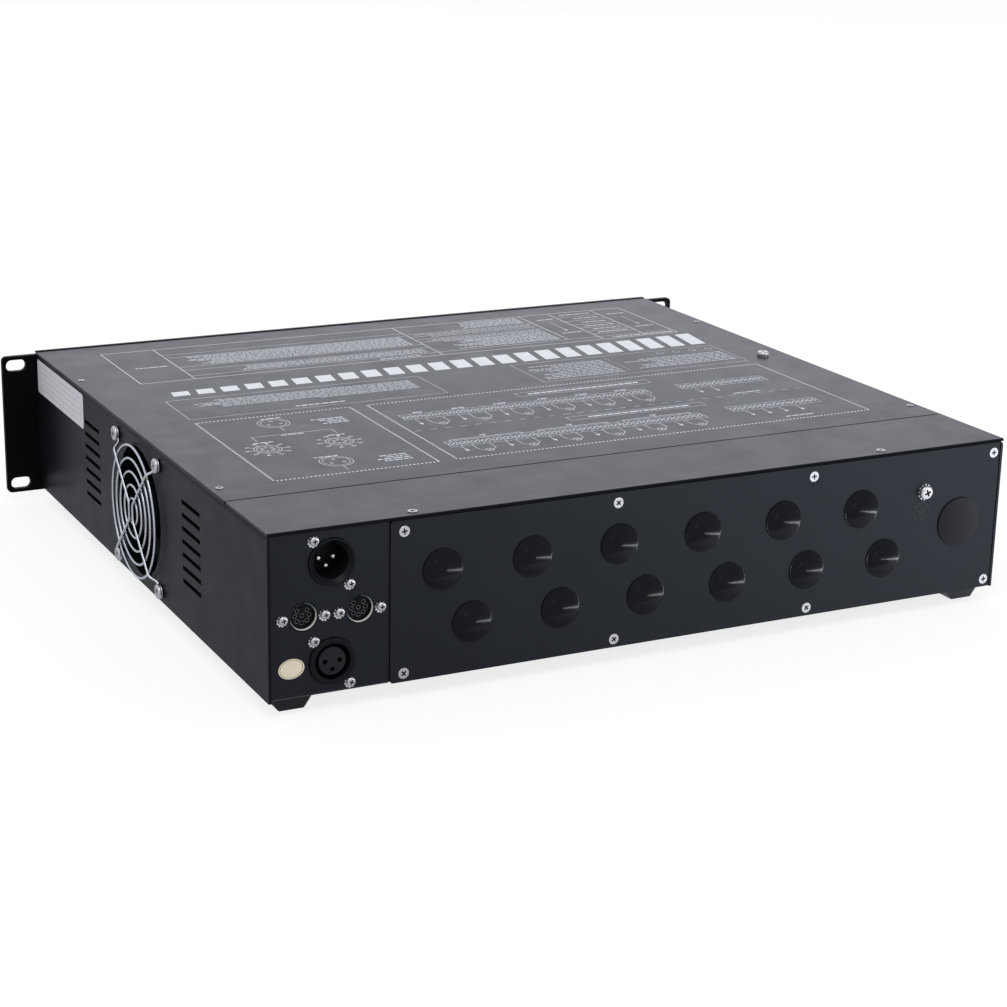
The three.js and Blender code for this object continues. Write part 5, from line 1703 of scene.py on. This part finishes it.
@dataclass
class ControlSockets:
    """The two eight-pole sockets between the round ones."""

    offset: float = 14.9
    z: float = 42.3
    shell: float = 7.3
    mouth: float = 6.95
    inner: float = 6.55
    step: float = 1.2
    recess: float = 2.1
    core: float = 6.0
    contact_ring: float = 3.75
    contacts: int = 7
    thick: float = 4.0

    def shell_master(self) -> Piece:
        """Makes the plated shell, whose mouth flares, with its oval flange behind the panel.

        Returns:
            The shell.
        """
        floor = -self.recess - self.thick
        profile = [
            (0, -13.0), (self.shell, -13.0), (self.shell, -0.5),
            (self.mouth + 0.04, -0.12), (self.mouth, -0.12),
            (self.mouth - 0.05, -0.2), (self.inner, -self.step), (self.inner, floor), (0, floor),
        ]
        shell = lathe("shell", profile, 96)
        flange = slab("flange", (29.0, 15.4), 1.0, 7.4, -2.5)
        carve(flange, drum("bore", self.shell - 0.3, -4.0, 0.0, 72))
        return smooth(carve(shell, flange, "UNION"))

    def bezel_master(self) -> Piece:
        """Makes the thin black ring that closes the gap between the shell and the panel.

        Returns:
            The ring.
        """
        edge = self.mouth + 0.02
        wide = self.shell + 0.5
        profile = [(edge, -0.5), (wide, -0.5), (wide, 0.05), (edge + 0.1, 0.05), (edge, -0.1)]
        return smooth(lathe("bezel", [*profile, profile[0]], 96))

    def contact_places(self) -> list[Point]:
        """Gives the middle contact and the ring of seven about it, open at the top."""
        last = 135 + 45 * (self.contacts - 1)
        return [(0.0, 0.0), *arc((0, 0), self.contact_ring, 135, last, self.contacts)]

    def insert_master(self) -> Piece:
        """Makes the insert: a cup with a key at its top, a centre hole and a ring of seven.

        Returns:
            The insert.
        """
        floor, face, wall = -self.recess - self.thick, -self.recess, self.inner - 0.02
        step, core = -self.step, self.core
        profile = [(0, floor), (wall, floor), (wall, step), (core, step), (core, face), (0, face)]
        core = lathe("insert", profile, 64)
        drill(core, self.contact_places(), 1.08, face - 3.4, face + 1.0, 20)
        key = block("key", (2.4, 1.6, 1.2), (0, self.core - 0.5, face + 0.2), 0.2)
        return smooth(carve(core, key, "UNION"))

    def contacts_master(self) -> Piece:
        """Makes the plated sleeves in the holes of the insert.

        Returns:
            The sleeves, as one piece.
        """
        top = -self.recess - 0.15
        profile = [(1.06, top - 1.2), (1.06, top), (0.86, top), (0.86, top - 1.2), (1.06, top - 1.2)]
        made = []
        for u, v in self.contact_places():
            sleeve = lathe("sleeve", profile, 20)
            sleeve.data.transform(Matrix.Translation((u, v, 0)))
            made.append(sleeve)
        return smooth(combine("sleeves", made))

    def build(self) -> None:
        """Builds both sockets and sets them in the panel."""
        shell, insert, sleeves = self.shell_master(), self.insert_master(), self.contacts_master()
        bezel = self.bezel_master()
        for letter, way in (("a", 1), ("b", -1)):
            place = CASE.placing(Side.REAR, CASE.sockets + way * self.offset, CASE.panel, self.z)
            node = f"control_socket_{letter}"
            install(shell, f"control_shell_{letter}", place, PLATED_MOUTH, stands_for=[node])
            install(bezel, f"control_bezel_{letter}", place, SOCKET_MOULDING)
            install(insert, f"control_insert_{letter}", place, CONTROL_INSERT)
            install(sleeves, f"control_contacts_{letter}", place, CONTACT_SLEEVE)
        discard(shell, insert, sleeves, bezel)


# Labels


@dataclass
class Labels:
    """The oval sticker by the sockets and the white label on the fan side."""

    sticker: Point = (207.2, 16.3)
    sticker_size: Point = (13.6, 10.4)
    label_y: Point = (-198.0, -100.5)
    label_z: Point = (62.5, 83.6)

    def build(self) -> None:
        """Builds both labels. They carry rules and rings, and no words."""
        disc = lathe("sticker", [(0, 0), (0.5, 0), (0.5, 0.08), (0, 0.08)], 64)
        disc.data.transform(Matrix.Diagonal((*self.sticker_size, 1.0, 1.0)))
        place = CASE.placing(Side.REAR, self.sticker[0], CASE.panel, self.sticker[1], 4)
        finished(placed(smooth(disc), "oval_sticker", place), STICKER_CREAM)
        ring = lathe("ring", [(0.43, 0.0), (0.45, 0.0), (0.45, 0.12), (0.43, 0.12), (0.43, 0.0)], 64)
        ring.data.transform(Matrix.Diagonal((*self.sticker_size, 1.0, 1.0)))
        install(ring, "oval_sticker_ring", place, STICKER_RING)
        discard(disc, ring)
        width = self.label_y[1] - self.label_y[0]
        height = self.label_z[1] - self.label_z[0]
        middle = (sum(self.label_y) / 2, sum(self.label_z) / 2)
        film = slab("label", (width, height), 0.08, 2.0)
        place = CASE.placing(Side.FAN, CASE.wall, middle[0], middle[1])
        install(film, "side_label", place, LABEL_PAPER)
        discard(film)
        rules = Printing(Side.FAN, 0.12)
        rules.frame((-width / 2 + 6, width / 2 - 6, -height / 2 + 3.5, height / 2 - 3.5), 0.3)
        for i in range(3):
            v = -height / 2 + 6.6 + i * 3.9
            rules.line((-width / 2 + 9, v), (width / 2 - 9, v), 0.3)
        finished(rules.build("side_label_rules", CASE.wall, middle[0], middle[1]), LABEL_RULE)


# Fan


@dataclass
class FanUnit:
    """The fan's frame, rotor, wire guard and screws. Its own z axis points out of the case."""

    y: float = 2.8
    z: float = 42.0
    inner_wall: float = 218.1
    size: float = 80.0
    depth: float = 25.0
    bore: float = 38.0
    pitch: float = 71.5
    wire: float = 0.75
    rings: int = 5
    first_ring: float = 7.5
    ring_pitch: float = 7.45
    stand_off: float = 3.4
    wire_lift: float = 0.8
    loop: float = 3.1
    hub: float = 16.5
    tip: float = 36.8
    blades: int = 7
    blade_middle: float = -11.5
    blade_pitch: float = 0.82

    def corner_places(self) -> list[Point]:
        """Gives the four screw places about the fan's axis."""
        half = self.pitch / 2
        return [(u, v) for u in (-half, half) for v in (-half, half)]

    def housing(self) -> Piece:
        """Makes the frame: two square lids on a round tube, with a motor seat on struts.

        Returns:
            The frame.
        """
        outer = slab("frame", (self.size, self.size), 4.0, 4.0, -4.0)
        inner = slab("lid", (self.size, self.size), 4.0, 4.0, -self.depth)
        tube = drum("tube", 39.6, -self.depth + 0.5, -0.5, 96)
        carve(outer, inner, "UNION")
        carve(outer, tube, "UNION")
        mouth, below = self.bore + 1.2, -self.depth - 1
        flare = [(0, 1), (mouth, 1), (mouth, 0), (self.bore, -2.0), (self.bore, below), (0, below)]
        carve(outer, lathe("bore", flare, 96))
        drill(outer, self.corner_places(), 2.2, -self.depth - 1, 1, 24)
        seat = drum("seat", 17.0, -self.depth, -self.depth + 3.0, 64)
        for i in range(4):
            strut = block("strut", (5.0, self.bore + 0.4, 3.0), (0, (self.bore + 0.4) / 2, -self.depth + 1.5))
            strut.data.transform(Matrix.Rotation(math.radians(45 + 90 * i), 4, "Z"))
            carve(seat, strut, "UNION")
        carve(outer, seat, "UNION")
        return smooth(outer)

    def blade(self, index: int) -> Piece:
        """Makes one swept blade from a grid that is bent to its pitch and camber.

        Args:
            index: Its place in the rotor.

        Returns:
            The blade, turned to its place.
        """
        clear_selection()
        bpy.ops.mesh.primitive_grid_add(x_subdivisions=12, y_subdivisions=10, size=1.0, location=(0, 0, 0))
        piece = named(bpy.context.active_object, f"blade_{index}")
        for vertex in piece.data.vertices:
            along, span = vertex.co.x, vertex.co.y + 0.5
            radius = self.hub - 0.8 + (self.tip - self.hub + 0.8) * span
            pitch = math.radians(50 - 23 * span)
            chord = 15.0 + 5.5 * span
            camber = 2.0 * (1 - (2 * along) ** 2)
            across = along * chord * math.cos(pitch) - camber * math.sin(pitch)
            axial = along * chord * math.sin(pitch) + camber * math.cos(pitch)
            angle = across / radius + 0.16 * span
            depth = self.blade_middle + axial * self.blade_pitch
            vertex.co = (radius * math.sin(angle), radius * math.cos(angle), depth)
        apply_modifier(piece, "SOLIDIFY", thickness=1.2, offset=0.0)
        piece.data.transform(Matrix.Rotation(math.tau * index / self.blades, 4, "Z"))
        return piece

    def rotor(self) -> Piece:
        """Makes the hub with its rounded cap and its seven blades.

        Returns:
            The rotor.
        """
        cap = arc((self.hub - 2.0, -4.4), 2.0, 0, 90, 6)
        profile = [(0, -21.0), (self.hub, -21.0), *cap, (7.2, -2.4), (7.0, -2.7), (0, -2.7)]
        hub = lathe("hub", profile, 72)
        return smooth(combine("rotor", [hub, *(self.blade(i) for i in range(self.blades))]), 35)

    def leg_path(self, side: int) -> list[Vector]:
        """Gives the centreline of one support wire, from an upper screw to the lower one.

        Args:
            side: -1 or 1, for the wire on the left or on the right.

        Returns:
            Points of the centreline.
        """
        low, high = self.wire_lift, self.stand_off + 2 * self.wire - 0.15
        corner = Vector((side * self.pitch / 2, self.pitch / 2))
        waist = Vector((side * 3.0, 4.8))
        inward = (waist - corner).normalized()
        climb = ((self.loop, low), (6.0, low), (10.0, high))
        upper = [*((*(corner + inward * reach), lift) for reach, lift in climb), (*waist, high)]
        lower = [(u, -v, w) for u, v, w in reversed(upper)]
        return rounded_path([*upper, *lower], 1.6)

    def guard(self) -> Piece:
        """Makes the wire guard: rings, two bent support wires and loops at the screws.

        Returns:
            The guard.
        """
        made = []
        for i in range(self.rings):
            count = 48 + 16 * i
            circle = arc((0, 0), self.first_ring + i * self.ring_pitch, 0, 360 - 360 / count, count)
            path = [(*point, self.stand_off) for point in circle]
            made.append(wire(f"ring_{i}", path, self.wire, closed=True))
        for side in (-1, 1):
            made.append(wire(f"leg_{side}", self.leg_path(side), self.wire))
        for u, v in self.corner_places():
            inward = math.degrees(math.atan2(-v, -u))
            loop = arc((u, v), self.loop, inward, inward + 360 * 0.94, 30)
            made.append(wire("loop", [(*point, self.wire_lift) for point in loop], self.wire))
        return smooth(combine("guard", made), 60)

    def build(self) -> None:
        """Builds the fan and sets it in the side sheet."""
        inside = CASE.placing(Side.FAN, self.inner_wall, self.y, self.z)
        outside = CASE.placing(Side.FAN, CASE.wall, self.y, self.z)
        housing, rotor, guard = self.housing(), self.rotor(), self.guard()
        install(housing, "fan_frame", inside, FAN_MOULDING, stands_for=["fan_housing"])
        install(rotor, "fan_wheel", inside, FAN_MOULDING, "fan_rotor", ["fan_rotor"])
        install(guard, "wire_guard", outside, WIRE_CHROME, stands_for=["fan_guard"])
        screw = ScrewKit().pan_head(4.2, 1.6)
        for i, (u, v) in enumerate(self.corner_places()):
            place = outside @ Matrix.Translation((u, v, 1.4)) @ Matrix.Rotation(0.4 + i, 4, "Z")
            install(screw, f"guard_screw_{i + 1}", place, ZINC)
        discard(housing, rotor, guard, screw)


# Feet


@dataclass
class Feet:
    """Four tapered rubber feet with a recessed screw each."""

    x: Point = (-206.8, 203.8)
    y: float = 183.9
    top: Point = (21.6, 14.0)
    tread: Point = (13.4, 13.4)
    lid: float = 2.8
    height: float = 9.0
    recess: float = 4.0

    def foot_master(self) -> Piece:
        """Makes one foot below its case, from a block that is extruded and drawn in.

        Returns:
            The foot.
        """
        foot = block("foot", (*self.top, self.lid), (0, 0, -self.lid / 2))
        share = (self.tread[0] / self.top[0], self.tread[1] / self.top[1], 1.0)
        with editing(foot):
            select(foot, Part.FACE, lambda face: face.normal.z < -0.5)
            drop = self.height - self.lid
            bpy.ops.mesh.extrude_region_move(TRANSFORM_OT_translate={"value": (0, 0, -drop)})
            bpy.ops.transform.resize(value=share)
            bpy.ops.mesh.select_all(action="SELECT")
            bpy.ops.mesh.bevel(offset=0.7, segments=4, affect="EDGES")
        carve(foot, drum("recess", 3.6, -self.height - 1, -self.recess, 32))
        return smooth(foot)

    def build(self) -> None:
        """Builds the feet and their screws."""
        foot, screw = self.foot_master(), ScrewKit().pan_head(3.0, 2.0)
        number = 0
        for x in self.x:
            for y in (-self.y, self.y):
                number += 1
                place = Matrix.Translation(CASE.at(x, y, 0)) @ Matrix.Scale(MM, 4)
                node = f"foot_{number}"
                install(foot, f"rubber_foot_{number}", place, FOOT_RUBBER, stands_for=[node])
                place = CASE.placing(Side.UNDER, x, y, -self.recess, 25 * number)
                install(screw, f"foot_screw_{number}", place, ZINC)
        discard(foot, screw)


# Front: breaker levers, buttons and display


@dataclass
class FrontControls:
    """Levers of the breakers, menu buttons and the digits behind the red window."""

    pivot: float = -202.0
    mid_z: float = 43.6
    starts: Point = (-12.0, 98.0)
    width: float = 17.6
    per_row: int = 6
    lever_width: float = 9.0
    hub: float = 6.5
    reach: float = 14.5
    lift: float = 35.0
    button_x: float = -96.0
    button_pitch: float = 15.0
    button_z: float = 49.0
    display: Point = (-148.0, 49.0)

    def lever(self) -> Piece:
        """Makes a lever about its pivot: a round hub with a rounded, tapered handle.

        Returns:
            The lever.
        """
        half = self.lever_width / 2
        hub = drum("hub", self.hub, -half, half, 64)
        handle = block("handle", (self.reach, 4.5, self.lever_width), (self.reach / 2, 0, 0))
        with editing(handle):
            select(handle, Part.FACE, lambda face: face.normal.x > 0.5)
            bpy.ops.transform.resize(value=(1.0, 3.4 / 4.5, 1.0))
            select(handle, Part.EDGE, lambda edge: min(v.co.x for v in edge.verts) > self.reach / 2)
            bpy.ops.mesh.bevel(offset=1.2, segments=5, affect="EDGES")
        handle.data.transform(Matrix.Rotation(math.radians(self.lift), 4, "Z"))
        return smooth(carve(hub, handle, "UNION"))

    def lever_marks(self) -> Piece:
        """Makes the bar and the circle moulded on the hub above and below the handle.

        Returns:
            The marks.
        """
        bar = block("bar", (0.35, 0.7, 3.0), (self.hub, 0, 0))
        bar.data.transform(Matrix.Rotation(math.radians(self.lift + 33), 4, "Z"))
        ring = lathe("ring", [(0.9, -0.2), (1.3, -0.2), (1.3, 0.18), (0.9, 0.18), (0.9, -0.2)], 24)
        ring.data.transform(Matrix.Translation((self.hub, 0, 0)) @ Matrix.Rotation(math.pi / 2, 4, "Y"))
        ring.data.transform(Matrix.Rotation(math.radians(self.lift - 33), 4, "Z"))
        return combine("marks", [bar, ring])

    def build_levers(self) -> None:
        """Sets a lever in each of the twelve breakers, on its own body."""
        lever, marks = self.lever(), self.lever_marks()
        turn = Matrix(((0, 0, 1), (-1, 0, 0), (0, 1, 0))).to_4x4()
        number = 0
        for start in self.starts:
            for i in range(self.per_row):
                number += 1
                x = start + (i + 0.5) * self.width
                place = Matrix.Translation(CASE.at(x, self.pivot, self.mid_z)) @ turn @ Matrix.Scale(MM, 4)
                node = f"breaker_lever_{number}"
                install(lever, f"lever_{number}", place, LEVER_BLACK, node, [node])
                install(marks, f"lever_marks_{number}", place, INK_WHITE, node)
        discard(lever, marks)

    def build_buttons(self) -> None:
        """Sets the four menu buttons, each dished at its face."""
        profile = [
            (0, -7.3), (2.4, -7.3), (2.4, -4.3), (5.6, -4.3), (5.6, -3.3), (4.2, -3.3),
            *arc((3.4, 1.6), 0.8, 0, 85, 5), (2.4, 2.15), (0, 1.9),
        ]
        button = smooth(lathe("button", profile, 64))
        for i in range(4):
            x = self.button_x + i * self.button_pitch
            node = f"menu_button_{i + 1}"
            place = CASE.placing(Side.FRONT, x, CASE.front, self.button_z)
            install(button, f"button_{i + 1}", place, LEVER_BLACK, node, [node])
        discard(button)

    def build_digits(self) -> None:
        """Sets four unlit seven-segment digits behind the window."""
        sheet = Printing(Side.FRONT, 0.1)
        half, tall, gap = 2.9, 5.6, 0.5
        for i in range(4):
            u = -18.75 + i * 12.5
            for v in (-tall, 0.0, tall):
                sheet.line((u - half + gap, v), (u + half - gap, v), 1.1)
            for way in (-1, 1):
                sheet.line((u + way * half, gap), (u + way * half, tall - gap), 1.1)
                sheet.line((u + way * half, -tall + gap), (u + way * half, -gap), 1.1)
        digits = sheet.build("display_digits", self.display[0], -200.5 + 1.6, self.display[1])
        finished(digits, DIGIT_RED)

    def build_printing(self) -> None:
        """Prints the front: a mark under each breaker, a rule over each row and the buttons' signs."""
        sheet = Printing(Side.FRONT)
        over, under = self.mid_z + 28.0, self.mid_z - 27.0
        for start in self.starts:
            end = start + self.per_row * self.width
            sheet.line((start + 1, over), (end - 1, over), 0.5)
            sheet.line((start + 1, over + 0.25), (start + 1, over - 2.5), 0.5)
            sheet.line((end - 1, over + 0.25), (end - 1, over - 2.5), 0.5)
            for i in range(self.per_row):
                x = start + (i + 0.5) * self.width
                sheet.ring((x, under), 1.5, 0.45)
                sheet.line((x, under + 1.5), (x, under + 3.0), 0.45)
        low = self.button_z - 11.0
        for i in range(4):
            x = self.button_x + i * self.button_pitch
            if i < 2:
                way = 1 if i == 0 else -1
                base = low - 1.4 * way
                sheet.shapes.append([(x - 1.8 * way, base), (x + 1.8 * way, base), (x, low + 1.6 * way)])
            elif i == 2:
                sheet.ring((x, low), 1.6, 0.6)
            else:
                sheet.frame((x - 1.5, x + 1.5, low - 1.5, low + 1.5), 0.5)
        x, z = self.display
        sheet.frame((x - 32, x + 32, z - 15, z + 15), 0.45)
        finished(sheet.build("front_printing", 0.0, CASE.front, 0.0), INK_WHITE)

    def build(self) -> None:
        """Builds the levers, buttons, digits and printing."""
        self.build_levers()
        self.build_buttons()
        self.build_digits()
        self.build_printing()


# Trim of the cover with its painted seam shadow, and the nodes of the frame that stay


@dataclass
class CoverTrim:
    """The front panel's lip over the top cover, and a near-black strip over the seam further back, a painted
    shadow of its gap. A size is depth, height.
    """

    width: float = 439.0
    lip_y: float = -202.0
    lip_size: Point = (3.0, 0.9)
    seam_y: float = 142.6
    seam_size: Point = (1.1, 0.3)

    def strip(self, name: str, y: float, size: Point, rise: float) -> Piece:
        """Makes one strip that runs across the case.

        Args:
            name: Name of the piece.
            y: Middle of the strip.
            size: Depth and height.
            rise: How far its top stands over the cover.

        Returns:
            The strip.
        """
        piece = block(name, (self.width, *size), (0, 0, 0), size[1] / 5)
        middle = CASE.at(0, y, CASE.top + rise - size[1] / 2)
        piece.data.transform(Matrix.Translation(middle) @ Matrix.Scale(MM, 4))
        return piece

    def build(self) -> None:
        """Builds the lip, and the strip of painted shadow over the seam."""
        lip = self.strip("panel_lip", self.lip_y, self.lip_size, 0.45)
        finished(smooth(lip), PANEL_BLACK_AND_SHADE)
        # Painted shadow: a near-black strip laid over the seam between the covers, where there is only shade.
        seam = self.strip("cover_seam", self.seam_y, self.seam_size, 0.03)
        finished(seam, PAINTED_SEAM_SHADOW)


@dataclass
class KeptNodes:
    """Nodes whose shape is right: the sheets of the case, the inside and the breakers."""

    finishes: dict[str, Finish] = field(default_factory=lambda: {
        "case_black": CASE_BLACK,
        "panel_black": PANEL_BLACK_AND_SHADE,
        "grommet_rubber": GROMMET_RUBBER,
        "black_plastic": BLACK_MOULDING,
        "foot_rubber": FOOT_RUBBER,
        "bright_metal": NICKEL,
        "aluminium": ALUMINIUM,
        "laminate_green": LAMINATE,
        "winding_copper": WINDING,
        "terminal_green": TERMINAL,
        "breaker_grey": BREAKER_GREY,
        "lever_black": LEVER_BLACK,
        "smoked_window": RED_WINDOW,
    })
    # Copies of the case coat, one per sheet: painted light and shade for each face, and painted shade on the
    # covers' rear faces.
    sheets: dict[str, Finish] = field(default_factory=lambda: {
        "side_sheet_fan": SIDE_COAT_SHADED_COPY,
        "side_sheet_plain": REAR_COAT_SHEEN_COPY,
        "rear_cover": COVER_BLACK_REAR_SHADE,
        "top_cover": COVER_BLACK_REAR_SHADE,
        "gland_plate": REAR_COAT_SHEEN_COPY,
        "base_tray": REAR_COAT_SHEEN_COPY,
    })

    def build(self) -> None:
        """Gives every node of the frame the finish of its material slot, but the case's sheets their lit and
        shaded copies of the coat.
        """
        for row in frame["record"]["subparts"]:
            node = frame["nodes"][row["node"]]
            dress(node, self.sheets.get(row["node"], self.finishes[row["material_slot"]]))
            LOG.info("%s keeps its shape", row["node"])


# Stage


@dataclass
class Stage:
    """Camera, lamps, floor and surroundings."""

    eye: tuple[float, float, float] = (584.78, 1163.47, 422.42)
    right: tuple[float, float, float] = (-0.893347, 0.448956, 0.019217)
    down: tuple[float, float, float] = (0.11659, 0.272871, -0.95496)
    forward: tuple[float, float, float] = (-0.433979, -0.85087, -0.296112)
    focal_px: float = 2266.85
    picture_px: float = 1007.0
    sensor: float = 36.0
    sky: float = 0.69
    sky_colour: Colour = (0.97, 0.98, 1.0)
    floor_size: float = 30.0
    floor_glow: float = 0.80
    floor_bounce: float = 0.50
    floor_shade: float = 0.26
    mirror_tint: Colour = (0.94, 0.975, 1.09)
    mirror_near: float = 0.50
    mirror_far: float = 1.75
    mirror_span: Point = (0.12, -0.36)

    def camera(self) -> None:
        """Sets the camera that was fitted to the photograph."""
        data = bpy.data.cameras.new("view")
        data.sensor_width = self.sensor
        data.lens = self.focal_px * self.sensor / self.picture_px
        data.clip_start, data.clip_end = 0.01, 60.0
        camera = bpy.data.objects.new("view", data)
        axes = Matrix((self.right, [-c for c in self.down], [-c for c in self.forward])).transposed()
        camera.matrix_world = Matrix.Translation(CASE.at(*self.eye)) @ axes.to_4x4()
        bpy.context.collection.objects.link(camera)
        bpy.context.scene.camera = camera

    def lamp(
        self, name: str, place: Colour, aim: Colour, size: Point, power: float, roll: float = 0.0
    ) -> None:
        """Adds a rectangular lamp.

        Args:
            name: Name of the lamp.
            place: Where it stands, in metres.
            aim: The point that it faces.
            size: Its width and height.
            power: Its power in watts.
            roll: Turn about its own beam, in degrees.
        """
        data = bpy.data.lights.new(name, "AREA")
        data.shape = "RECTANGLE"
        data.size, data.size_y = size
        data.energy = power
        lamp = bpy.data.objects.new(name, data)
        lamp.location = place
        lamp.rotation_mode = "QUATERNION"
        turn = (Vector(aim) - Vector(place)).to_track_quat("-Z", "Y")
        lamp.rotation_quaternion = turn @ Quaternion((0, 0, 1), math.radians(roll))
        bpy.context.collection.objects.link(lamp)

    def direct_rays(self, tree: Tree, *kinds: str) -> Socket:
        """Gives a socket that is 1 for rays of the named kinds.

        Args:
            tree: The nodes of a material or the world.
            *kinds: Names of outputs of the Light Path node.

        Returns:
            The socket.
        """
        path = add_node(tree, "LightPath")
        total = path.outputs[kinds[0]]
        for kind in kinds[1:]:
            total = add_node(tree, "Math", {0: total, 1: path.outputs[kind]}, operation="MAXIMUM").outputs[0]
        return total

    def seen_colour(self, tree: Tree) -> Socket:
        """Gives white to the eye and a cooler white to reflections."""
        return blend(tree, self.direct_rays(tree, "Is Camera Ray"), self.mirror_tint, (1.0, 1.0, 1.0))

    def floor_strength(self, tree: Tree) -> Socket:
        """Gives the floor's glow: even to the eye, and growing along the case in reflections.

        Args:
            tree: The floor's nodes.

        Returns:
            The strength.
        """
        place = add_node(tree, "NewGeometry")
        axes = add_node(tree, "SeparateXYZ", {0: place.outputs["Position"]})
        ramp = add_node(tree, "MapRange", {
            "Value": axes.outputs["X"], "From Min": self.mirror_span[0], "From Max": self.mirror_span[1],
            "To Min": self.mirror_near, "To Max": self.mirror_far,
        })
        eye = self.direct_rays(tree, "Is Camera Ray")
        return add_node(tree, "Mix", {0: eye, 2: ramp.outputs["Result"], 3: self.floor_glow}).outputs[0]

    def show(self, tree: Tree, light: Node, seen: Node, output: str) -> None:
        """Shows one shader to the eye, to reflections and through glass, and another to all other rays.

        Args:
            tree: The nodes of a material or the world.
            light: The shader for the other rays.
            seen: The shader that is seen.
            output: Name of the output node.
        """
        rays = self.direct_rays(tree, "Is Camera Ray", "Is Glossy Ray", "Is Transmission Ray")
        mix = add_node(tree, "MixShader", {0: rays, 1: light.outputs[0], 2: seen.outputs[0]})
        tree.links.new(mix.outputs[0], tree.nodes[output].inputs["Surface"])

    def surroundings(self) -> None:
        """Makes a white surround for the eye and for reflections, and a plain sky for light."""
        world = bpy.data.worlds.new("studio")
        bpy.context.scene.world = world
        world.use_nodes = True
        tree = world.node_tree
        light = tree.nodes["Background"]
        light.inputs["Color"].default_value = (*self.sky_colour, 1.0)
        light.inputs["Strength"].default_value = self.sky
        seen = add_node(tree, "Background", {"Color": self.seen_colour(tree), "Strength": 1.0})
        self.show(tree, light, seen, "World Output")

    def floor(self) -> None:
        """Makes the floor: white to the eye and in reflections, with the object's soft shadow."""
        clear_selection()
        bpy.ops.mesh.primitive_plane_add(size=self.floor_size, location=(0, 0, 0))
        floor = named(bpy.context.active_object, "floor")
        material = bpy.data.materials.new("floor_card")
        material.use_nodes = True
        tree = material.node_tree
        card = tree.nodes["Principled BSDF"]
        card.inputs["Base Color"].default_value = (*(self.floor_bounce,) * 3, 1.0)
        card.inputs["Roughness"].default_value = 0.9
        card.inputs["Specular IOR Level"].default_value = 0.0
        shaded = add_node(tree, "BsdfDiffuse", {"Color": (*(self.floor_shade,) * 3, 1.0)})
        colour, strength = self.seen_colour(tree), self.floor_strength(tree)
        glow = add_node(tree, "Emission", {"Color": colour, "Strength": strength})
        seen = add_node(tree, "AddShader", {0: shaded.outputs[0], 1: glow.outputs[0]})
        self.show(tree, card, seen, "Material Output")
        floor.data.materials.append(material)

    def build(self) -> None:
        """Builds the stage."""
        self.camera()
        self.surroundings()
        self.floor()
        centre = (0.0, 0.0, 0.05)
        self.lamp("key", (0.9, 1.6, 2.8), centre, (1.8, 1.8), 26.0)
        self.lamp("back", (-1.5, -2.9, 1.25), centre, (2.4, 1.2), 13.0)
        self.lamp("side", (-1.80, 1.63, 0.23), (-0.02, 0.2, 0.05), (2.0, 0.06), 11.5, roll=-17.0)
        bpy.context.scene.view_settings.view_transform = "Standard"


def main() -> None:
    """Builds the stage and every sub-assembly in order."""
    logging.basicConfig(level=logging.INFO, format="%(name)s: %(message)s")
    assemblies = (
        Stage(), KeptNodes(), CaseScrews(), GlandFittings(), RoundSockets(), ControlSockets(),
        Labels(), FanUnit(), Feet(), FrontControls(), CoverTrim(), CoverPrinting(),
    )
    for assembly in assemblies:
        assembly.build()
        LOG.info("built %s", type(assembly).__name__)


if __name__ == "__main__":
    main()
